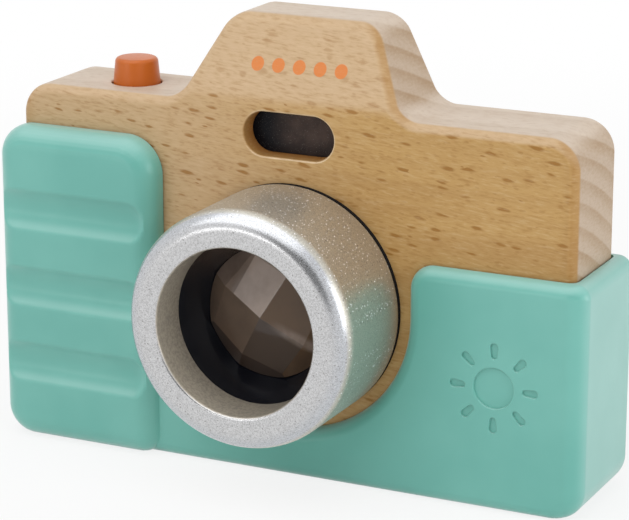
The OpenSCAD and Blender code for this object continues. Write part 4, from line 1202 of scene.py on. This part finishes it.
class TOYCAM_OT_silicone_sleeve(bpy.types.Operator):
    """Builds the moulded sleeve with its finger scoops and pressed sun"""

    bl_idname = "toycam.silicone_sleeve"
    bl_label = "Silicone sleeve"

    def execute(self, context):
        settings = context.scene.toy_camera
        block, sleeve = settings.block, settings.sleeve
        low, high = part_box("silicone_sleeve")
        wood_low, wood_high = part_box("wood_body")
        lens = middle_of("lens_ring")
        saddle = radius_of("lens_ring") + sleeve.ring_margin
        front = wood_low.y - sleeve.front_wall
        sun_x = (lens.x + saddle + high.x) / 2
        outline = self.band_outline(sleeve, low, high, lens, saddle)
        band = slab(outline, front, high.y, sleeve.front_radius, sleeve.edge_radius)
        self.soften_end(band, sleeve, high.x, front)
        back_wall = slab(self.back_outline(sleeve, low, high), 0, high.y, 0, sleeve.edge_radius)
        seam = sleeve.seam
        cavity = slab(
            box_corners(
                wood_low.x - seam,
                wood_high.x + seam,
                wood_low.z - seam,
                wood_high.z + seam,
                block.bottom_radius + seam,
            ),
            wood_low.y - seam,
            wood_high.y + seam,
            block.edge_radius,
            block.edge_radius,
        )
        lip = sleeve.lip_width
        opening = slab(
            box_corners(low.x + lip, high.x - lip, sleeve.lip_height, wood_high.z, block.bottom_radius),
            0,
            THROUGH,
        )
        bm = combined(
            self.grip(sleeve, low, high),
            ("UNION", band),
            ("UNION", back_wall),
            ("DIFFERENCE", cavity),
            ("DIFFERENCE", opening),
            ("DIFFERENCE", self.sun(sleeve, sun_x, front)),
        )
        self.soften_sun(bm, sleeve, sun_x, front)
        make_piece("sleeve", bm, "silicone_sleeve", mint_silicone(settings.colours))
        return {"FINISHED"}

    def band_outline(self, sleeve, low, high, lens, saddle):
        """Outline of the pad, the band under the lens and the wall behind the grip."""
        tuck = -sleeve.grip_inner - sleeve.saddle_tuck
        return [
            (high.x, low.z, sleeve.corner_radius),
            (high.x, sleeve.pad_height, sleeve.pad_end_radius),
            (lens.x + saddle, sleeve.pad_height, sleeve.pad_corner_radius),
            (lens.x + saddle, lens.z - saddle, saddle),
            (tuck, lens.z - saddle, saddle),
            (tuck, high.z, sleeve.grip_corner_radius),
            (low.x, high.z, sleeve.corner_radius),
            (low.x, low.z, sleeve.corner_radius),
        ]

    def back_outline(self, sleeve, low, high):
        """Outline of the lip round the open back, before it is opened."""
        return [
            (high.x, low.z, sleeve.corner_radius),
            (high.x, sleeve.pad_height, sleeve.pad_end_radius),
            (low.x, sleeve.pad_height, sleeve.pad_end_radius),
            (low.x, low.z, sleeve.corner_radius),
        ]

    def soften_end(self, bm, sleeve, end, front):
        """Widens the rounding of the pad's upright outer edge."""
        for vert in bm.verts:
            inward = end - vert.co.x
            rise = (front + sleeve.front_radius - vert.co.y) / sleeve.front_radius
            if inward < sleeve.end_reach and rise > 0:
                vert.co.x -= sleeve.end_softness * rise * inward * (1 - inward / sleeve.end_reach)

    def grip(self, sleeve, low, high):
        """The finger grip, with scoops pressed into its front."""
        outline = [
            (low.x, low.z, sleeve.corner_radius),
            (-sleeve.grip_inner, low.z, sleeve.grip_foot_radius),
            (-sleeve.grip_inner, high.z, sleeve.grip_corner_radius),
            (low.x, high.z, sleeve.corner_radius),
        ]
        bm = slab(outline, low.y, 0, sleeve.grip_edge_radius, 0)
        reach = low.y + sleeve.grip_edge_radius + TOUCH
        # A net of points over the front, close enough together to bend into scoops
        for normal, start, stop, step in (
            (UP, low.z, high.z, 0.4 * MM),
            (Vector((1, 0, 0)), low.x, -sleeve.grip_inner, 0.8 * MM),
        ):
            for i in range(1, math.ceil((stop - start) / step)):
                faces = [face for face in bm.faces if all(vert.co.y < reach for vert in face.verts)]
                geom = dict.fromkeys(part for face in faces for part in (*face.verts, *face.edges))
                bmesh.ops.bisect_plane(
                    bm,
                    geom=[*geom, *faces],
                    dist=TOUCH,
                    plane_co=normal * (start + i * step),
                    plane_no=normal,
                )
        bmesh.ops.dissolve_degenerate(bm, dist=10 * TOUCH, edges=bm.edges[:])
        for vert in bm.verts:
            if vert.co.y < reach:
                vert.co.y = self.scooped(sleeve, vert.co, low.y)
        return bm

    def scooped(self, sleeve, co, front):
        """Depth of the grip at a point after the scoops are cut, with soft rims."""
        half = sleeve.scoop_width / 2
        radius = (half * half + sleeve.scoop_depth ** 2) / (2 * sleeve.scoop_depth)
        end = -sleeve.grip_inner - sleeve.scoop_margin - half
        depth = co.y
        for i in range(sleeve.scoop_count):
            up = co.z - sleeve.scoop_height - i * sleeve.scoop_pitch
            away = math.hypot(max(co.x - end, 0), up)
            if away < radius:
                cut = front + sleeve.scoop_depth - radius + math.sqrt(radius * radius - away * away)
                depth = (depth + cut + math.hypot(depth - cut, sleeve.scoop_softness)) / 2
        return depth

    def sun(self, sleeve, across, front):
        """The shape that presses a plain sun into the pad."""
        ahead = front - 2 * MM
        deep = front + sleeve.sun_depth
        wide = sleeve.ray_width / 2
        inner = sleeve.sun_diameter / 2 + sleeve.ray_gap + wide
        outer = inner + sleeve.ray_length - sleeve.ray_width
        parts = [rod(across, sleeve.sun_height, sleeve.sun_diameter / 2, ahead, deep, segments=64)]
        for i in range(sleeve.ray_count):
            turn = 2 * math.pi * i / sleeve.ray_count
            ends = []
            for out, radius in ((inner, sleeve.ray_taper * wide), (outer, wide)):
                place = (across + out * math.cos(turn), sleeve.sun_height + out * math.sin(turn))
                ends.append(rod(*place, radius, ahead, deep, segments=24))
            ray = merged(ends)
            bmesh.ops.delete(ray, geom=ray.edges[:] + ray.faces[:], context="EDGES_FACES")
            hull = bmesh.ops.convex_hull(ray, input=ray.verts[:])
            spare = set(hull["geom_interior"] + hull["geom_unused"])
            spare_verts = [part for part in spare if isinstance(part, bmesh.types.BMVert)]
            bmesh.ops.delete(ray, geom=spare_verts, context="VERTS")
            parts.append(ray)
        return merged(parts)

    def soften_sun(self, bm, sleeve, across, front):
        """Rounds the rims of the pressed sun."""
        margin = 1 * MM
        reach = sleeve.sun_diameter / 2 + sleeve.ray_gap + sleeve.ray_length + margin

        def by_sun(co):
            return abs(co.y - front) < TOUCH and math.hypot(co.x - across, co.z - sleeve.sun_height) < reach

        rims = [
            edge
            for edge in edges_where(bm, by_sun)
            if any(abs(face.normal.y) < 0.5 for face in edge.link_faces)
        ]
        round_edges(bm, rims, sleeve.sun_rim, segments=3)


class TOYCAM_OT_lens_ring(bpy.types.Operator):
    """Builds the turned silver ring"""

    bl_idname = "toycam.lens_ring"
    bl_label = "Lens ring"

    def execute(self, context):
        settings = context.scene.toy_camera
        lens = settings.lens
        low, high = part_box("lens_ring")
        middle = Vector(((low.x + high.x) / 2, 0, (low.z + high.z) / 2))
        outer = (high.x - low.x) / 2
        opening = outer - lens.ring_wall
        front, back = -low.y, -high.y
        seat = front - lens.well_depth
        flange = back + lens.flange_depth
        section = [
            (opening, seat, 0),
            (opening, front, lens.opening_radius),
            (outer, front, lens.ring_edge_radius),
            (outer, back, lens.rear_radius),
            (outer - lens.flange_rim, back, 0),
            (outer - lens.flange_rim, flange, 0),
            (opening + lens.seat_width, flange, 0),
            (opening + lens.seat_width, seat, 0),
        ]
        bm = turned(section, middle, FRONT, segments=160)
        make_piece("silver_ring", bm, "lens_ring", silver_paint(lens, settings.colours))
        return {"FINISHED"}


class TOYCAM_OT_prism_lens(bpy.types.Operator):
    """Cuts the smoked lens into facets"""

    bl_idname = "toycam.prism_lens"
    bl_label = "Prism lens"

    def execute(self, context):
        settings = context.scene.toy_camera
        lens = settings.lens
        low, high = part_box("prism_lens")
        middle = middle_of("lens_ring")
        radius = (high.x - low.x) / 2
        tip = Vector((middle.x, low.y, middle.z))
        side = Vector((middle.x, high.y - lens.lens_rim, middle.z))
        ridge = 4
        bm = rod(middle.x, middle.z, radius, low.y, high.y, segments=128)
        for count, slope, through, out in (
            (lens.facet_count, lens.facet_slope, tip, 0),
            (2 * lens.facet_count, lens.edge_slope, side, radius),
        ):
            for i in range(count):
                turn = lens.facet_turn + (i + 0.5) * 2 * math.pi / count
                across = Vector((math.cos(turn), 0, math.sin(turn)))
                bmesh.ops.bisect_plane(
                    bm,
                    geom=bm.verts[:] + bm.edges[:] + bm.faces[:],
                    dist=TOUCH / 10,
                    plane_co=through + across * out,
                    plane_no=across * math.sin(slope) + FRONT * math.cos(slope),
                    clear_outer=True,
                )
                fill_holes(bm)
        bmesh.ops.recalc_face_normals(bm, faces=bm.faces[:])
        ridges = [
            edge
            for edge in bm.edges
            if len(edge.link_faces) == 2
            and all(face.normal.y < -0.5 for face in edge.link_faces)
            and edge.calc_face_angle(0) > math.radians(ridge)
        ]
        round_edges(bm, ridges, lens.facet_edge, segments=2)
        finish = smoked_lens(settings.colours)
        make_piece("faceted_lens", bm, "prism_lens", finish, sharp=ridge)
        return {"FINISHED"}


class TOYCAM_OT_shutter_button(bpy.types.Operator):
    """Builds the orange push button"""

    bl_idname = "toycam.shutter_button"
    bl_label = "Shutter button"

    def execute(self, context):
        settings = context.scene.toy_camera
        fittings = settings.fittings
        low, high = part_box("shutter_button")
        stop_low, stop_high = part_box("stop_washer")
        radius = (high.x - low.x) / 2
        middle = Vector(((low.x + high.x) / 2, (low.y + high.y) / 2, 0))
        section = [
            (0, high.z, 0),
            (radius - fittings.button_taper, high.z, fittings.button_edge),
            (radius, settings.block.shoulder_height, 0),
            (radius, stop_high.z, 0),
            (fittings.neck_diameter / 2, stop_high.z, 0),
            (fittings.neck_diameter / 2, stop_low.z, 0),
            (fittings.tip_diameter / 2, stop_low.z, 0),
            (fittings.tip_diameter / 2, low.z, 0),
            (0, low.z, 0),
        ]
        bm = turned(section, middle, UP, segments=96)
        finish = moulded("orange_plastic", settings.colours.orange, 0.33, relief=0.04, specular=0.4)
        make_piece("push_button", bm, "shutter_button", finish)
        return {"FINISHED"}


class TOYCAM_OT_button_spring(bpy.types.Operator):
    """Winds the button's return spring as it stands at rest"""

    bl_idname = "toycam.button_spring"
    bl_label = "Button spring"

    def execute(self, context):
        fittings = context.scene.toy_camera.fittings
        low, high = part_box("button_spring")
        middle = middle_of("shutter_button")
        foot = Vector((middle.x, middle.y, low.z))
        wire = fittings.spring_wire / 2
        coil = (high.x - low.x) / 2 - wire
        steps_a_turn = 48
        steps = steps_a_turn * fittings.spring_turns
        bm = bmesh.new()
        start = Matrix.Translation(foot + Vector((coil, 0, wire))) @ Matrix.Rotation(math.pi / 2, 4, "X")
        bmesh.ops.create_circle(bm, cap_ends=False, segments=16, radius=wire, matrix=start)
        bmesh.ops.spin(
            bm,
            geom=bm.verts[:] + bm.edges[:],
            cent=foot,
            axis=UP,
            dvec=(0, 0, (high.z - low.z - 2 * wire) / steps),
            angle=2 * math.pi * fittings.spring_turns,
            steps=steps,
        )
        fill_holes(bm)
        bmesh.ops.recalc_face_normals(bm, faces=bm.faces[:])
        spring = make_piece("return_spring", bm, "button_spring", bpy.data.materials["steel"])
        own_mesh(spring)
        return {"FINISHED"}


class TOYCAM_OT_eyepiece(bpy.types.Operator):
    """Builds the dished rim of the eyepiece"""

    bl_idname = "toycam.eyepiece"
    bl_label = "Eyepiece"

    def execute(self, context):
        fittings = context.scene.toy_camera.fittings
        low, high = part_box("eyepiece_rim")
        _, pane_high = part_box("eyepiece_window")
        _, wood_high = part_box("wood_body")
        middle = Vector(((low.x + high.x) / 2, 0, (low.z + high.z) / 2))
        outer = (high.x - low.x) / 2
        plug = outer - fittings.rim_overhang
        hole = fittings.eyepiece_hole / 2
        pane = radius_of("eyepiece_window") + FIT
        section = [
            (pane, low.y, 0),
            (pane, pane_high.y, 0),
            (hole, pane_high.y, 0),
            (hole, high.y - fittings.eyepiece_dish, fittings.hole_rounding),
            (plug - fittings.dish_margin, high.y, fittings.dish_rounding),
            (outer, high.y, fittings.rim_rounding),
            (outer, wood_high.y, 0),
            (plug, wood_high.y, 0),
            (plug, low.y, 0),
        ]
        bm = turned(section, middle, BACK, segments=128)
        finish = bpy.data.materials["black_plastic"]
        make_piece("eyepiece_surround", bm, "eyepiece_rim", finish)
        return {"FINISHED"}


class TOYCAM_OT_sound_cover(bpy.types.Operator):
    """Builds the cover on the back with its sound holes, battery door and screws"""

    bl_idname = "toycam.sound_cover"
    bl_label = "Sound cover"

    def execute(self, context):
        settings = context.scene.toy_camera
        fittings = settings.fittings
        finish = moulded("cover_plastic", settings.colours.cover, 0.5)
        self.add_cover(fittings, finish)
        self.add_door(fittings, finish)
        steel = bpy.data.materials["steel"]
        self.add_screws(fittings, "cover_screws", steel)
        self.add_screws(fittings, "battery_door_screw", steel)
        return {"FINISHED"}

    def screw_places(self, fittings, node):
        """Middles of a node's screws, which lie in the corners of its box."""
        radius = fittings.screw_head / 2
        low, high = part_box(node)

        def ends(start, stop):
            one_row = stop - start <= 4 * radius
            return [(start + stop) / 2] if one_row else [start + radius, stop - radius]

        return [(x, z) for x in ends(low.x, high.x) for z in ends(low.z, high.z)]

    def screw(self, fittings, x, z, back, room=0.0):
        """A countersunk screw with its head's top at the back, or its hole with some room round it."""
        low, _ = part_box("battery_door_screw")
        radius = fittings.screw_head / 2 + room
        shank = fittings.screw_shank / 2 + room
        neck = back - fittings.screw_rim
        section = [
            (0, back + room, 0),
            (radius, back + room, 0),
            (radius, neck, 0),
            (shank, neck - (radius - shank), 0),
            (shank, low.y - room, 0),
            (0, low.y - room, 0),
        ]
        return turned(section, Vector((x, 0, z)), BACK, segments=40)

    def screw_holes(self, fittings, node, back):
        """The holes for a node's screws."""
        places = self.screw_places(fittings, node)
        return [self.screw(fittings, x, z, back, fittings.screw_room) for x, z in places]

    def add_cover(self, fittings, finish):
        """The cover, with holes for sound, cells and screws."""
        low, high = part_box("sound_cover")
        door_low, door_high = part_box("battery_door")
        cells_low, cells_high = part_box("button_cells")
        speaker = middle_of("speaker")
        gap, lap = fittings.door_gap, fittings.door_lap
        outline = box_corners(low.x, high.x, low.z, high.z, fittings.cover_corner)
        shape = slab(outline, low.y, high.y, 0, fittings.cover_edge)
        holes = [(speaker.x, speaker.z)]
        for i in range(fittings.sound_holes):
            turn = 2 * math.pi * i / fittings.sound_holes
            out = fittings.sound_ring / 2
            holes.append((speaker.x + out * math.cos(turn), speaker.z + out * math.sin(turn)))
        cuts = [rod(x, z, fittings.sound_hole / 2, 0, THROUGH, segments=32) for x, z in holes]
        seat = box_corners(door_low.x - gap, door_high.x + gap, door_low.z - gap, door_high.z + gap)
        cuts.append(slab(seat, door_low.y, THROUGH))
        well = box_corners(door_low.x + lap, door_high.x - lap, cells_low.z - gap, cells_high.z)
        cuts.append(slab(well, 0, THROUGH))
        cuts += self.screw_holes(fittings, "cover_screws", high.y)
        cuts += self.screw_holes(fittings, "battery_door_screw", high.y)
        make_piece("back_cover", cut_from(shape, cuts), "sound_cover", finish)

    def add_door(self, fittings, finish):
        """The battery door with its finger grooves."""
        low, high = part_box("battery_door")
        outline = box_corners(low.x, high.x, low.z, high.z, fittings.door_corner)
        shape = slab(outline, low.y, high.y, 0, fittings.door_edge)
        cuts = self.screw_holes(fittings, "battery_door_screw", high.y)
        margin = fittings.groove_margin
        half = fittings.groove_width / 2
        # Just short of half a circle
        end_radius = half - 5 * TOUCH
        for i in range(fittings.groove_count):
            up = high.z - fittings.groove_start - i * fittings.groove_pitch
            groove = box_corners(low.x + margin, high.x - margin, up - half, up + half, end_radius)
            cuts.append(slab(groove, high.y - fittings.groove_depth, THROUGH))
        make_piece("cell_door", cut_from(shape, cuts), "battery_door", finish)

    def add_screws(self, fittings, node, finish):
        """Countersunk screws with a cross in each head."""
        _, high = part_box(node)
        floor = high.y - fittings.slot_depth
        long, wide = fittings.slot_length / 2, fittings.slot_width / 2
        screws = []
        for x, z in self.screw_places(fittings, node):
            cross = [
                slab(box_corners(x - across, x + across, z - up, z + up), floor, THROUGH)
                for across, up in ((long, wide), (wide, long))
            ]
            screws.append(cut_from(self.screw(fittings, x, z, high.y), cross))
        make_piece(node + "_heads", merged(screws), node, finish)


class TOYCAM_PT_panel(bpy.types.Panel):
    """Lists the camera's pieces and settings in the sidebar"""

    bl_idname = "TOYCAM_PT_panel"
    bl_label = "Toy Camera"
    bl_space_type = "VIEW_3D"
    bl_region_type = "UI"
    bl_category = "Toy Camera"

    def draw(self, context):
        for operator in OPERATORS:
            self.layout.operator(operator.bl_idname)
        settings = context.scene.toy_camera
        for group_name in ToyCameraSettings.__annotations__:
            group = getattr(settings, group_name)
            box = self.layout.box()
            for name in group.__annotations__:
                box.prop(group, name)


SETTINGS = (
    BlockSettings,
    SleeveSettings,
    LensSettings,
    FittingSettings,
    ColourSettings,
    StageSettings,
    ToyCameraSettings,
)
OPERATORS = (
    TOYCAM_OT_stage,
    TOYCAM_OT_finishes,
    TOYCAM_OT_wood_body,
    TOYCAM_OT_silicone_sleeve,
    TOYCAM_OT_lens_ring,
    TOYCAM_OT_prism_lens,
    TOYCAM_OT_shutter_button,
    TOYCAM_OT_button_spring,
    TOYCAM_OT_eyepiece,
    TOYCAM_OT_sound_cover,
)
CLASSES = (*SETTINGS, *OPERATORS, TOYCAM_PT_panel)


def register():
    for group in CLASSES:
        bpy.utils.register_class(group)
    bpy.types.Scene.toy_camera = PointerProperty(type=ToyCameraSettings)


def unregister():
    del bpy.types.Scene.toy_camera
    for group in reversed(CLASSES):
        bpy.utils.unregister_class(group)


def main():
    register()
    bpy.ops.toycam.stage()
    bpy.ops.toycam.finishes()
    bpy.ops.toycam.wood_body()
    bpy.ops.toycam.silicone_sleeve()
    bpy.ops.toycam.lens_ring()
    bpy.ops.toycam.prism_lens()
    bpy.ops.toycam.shutter_button()
    bpy.ops.toycam.button_spring()
    bpy.ops.toycam.eyepiece()
    bpy.ops.toycam.sound_cover()


if __name__ == "__main__":
    main()
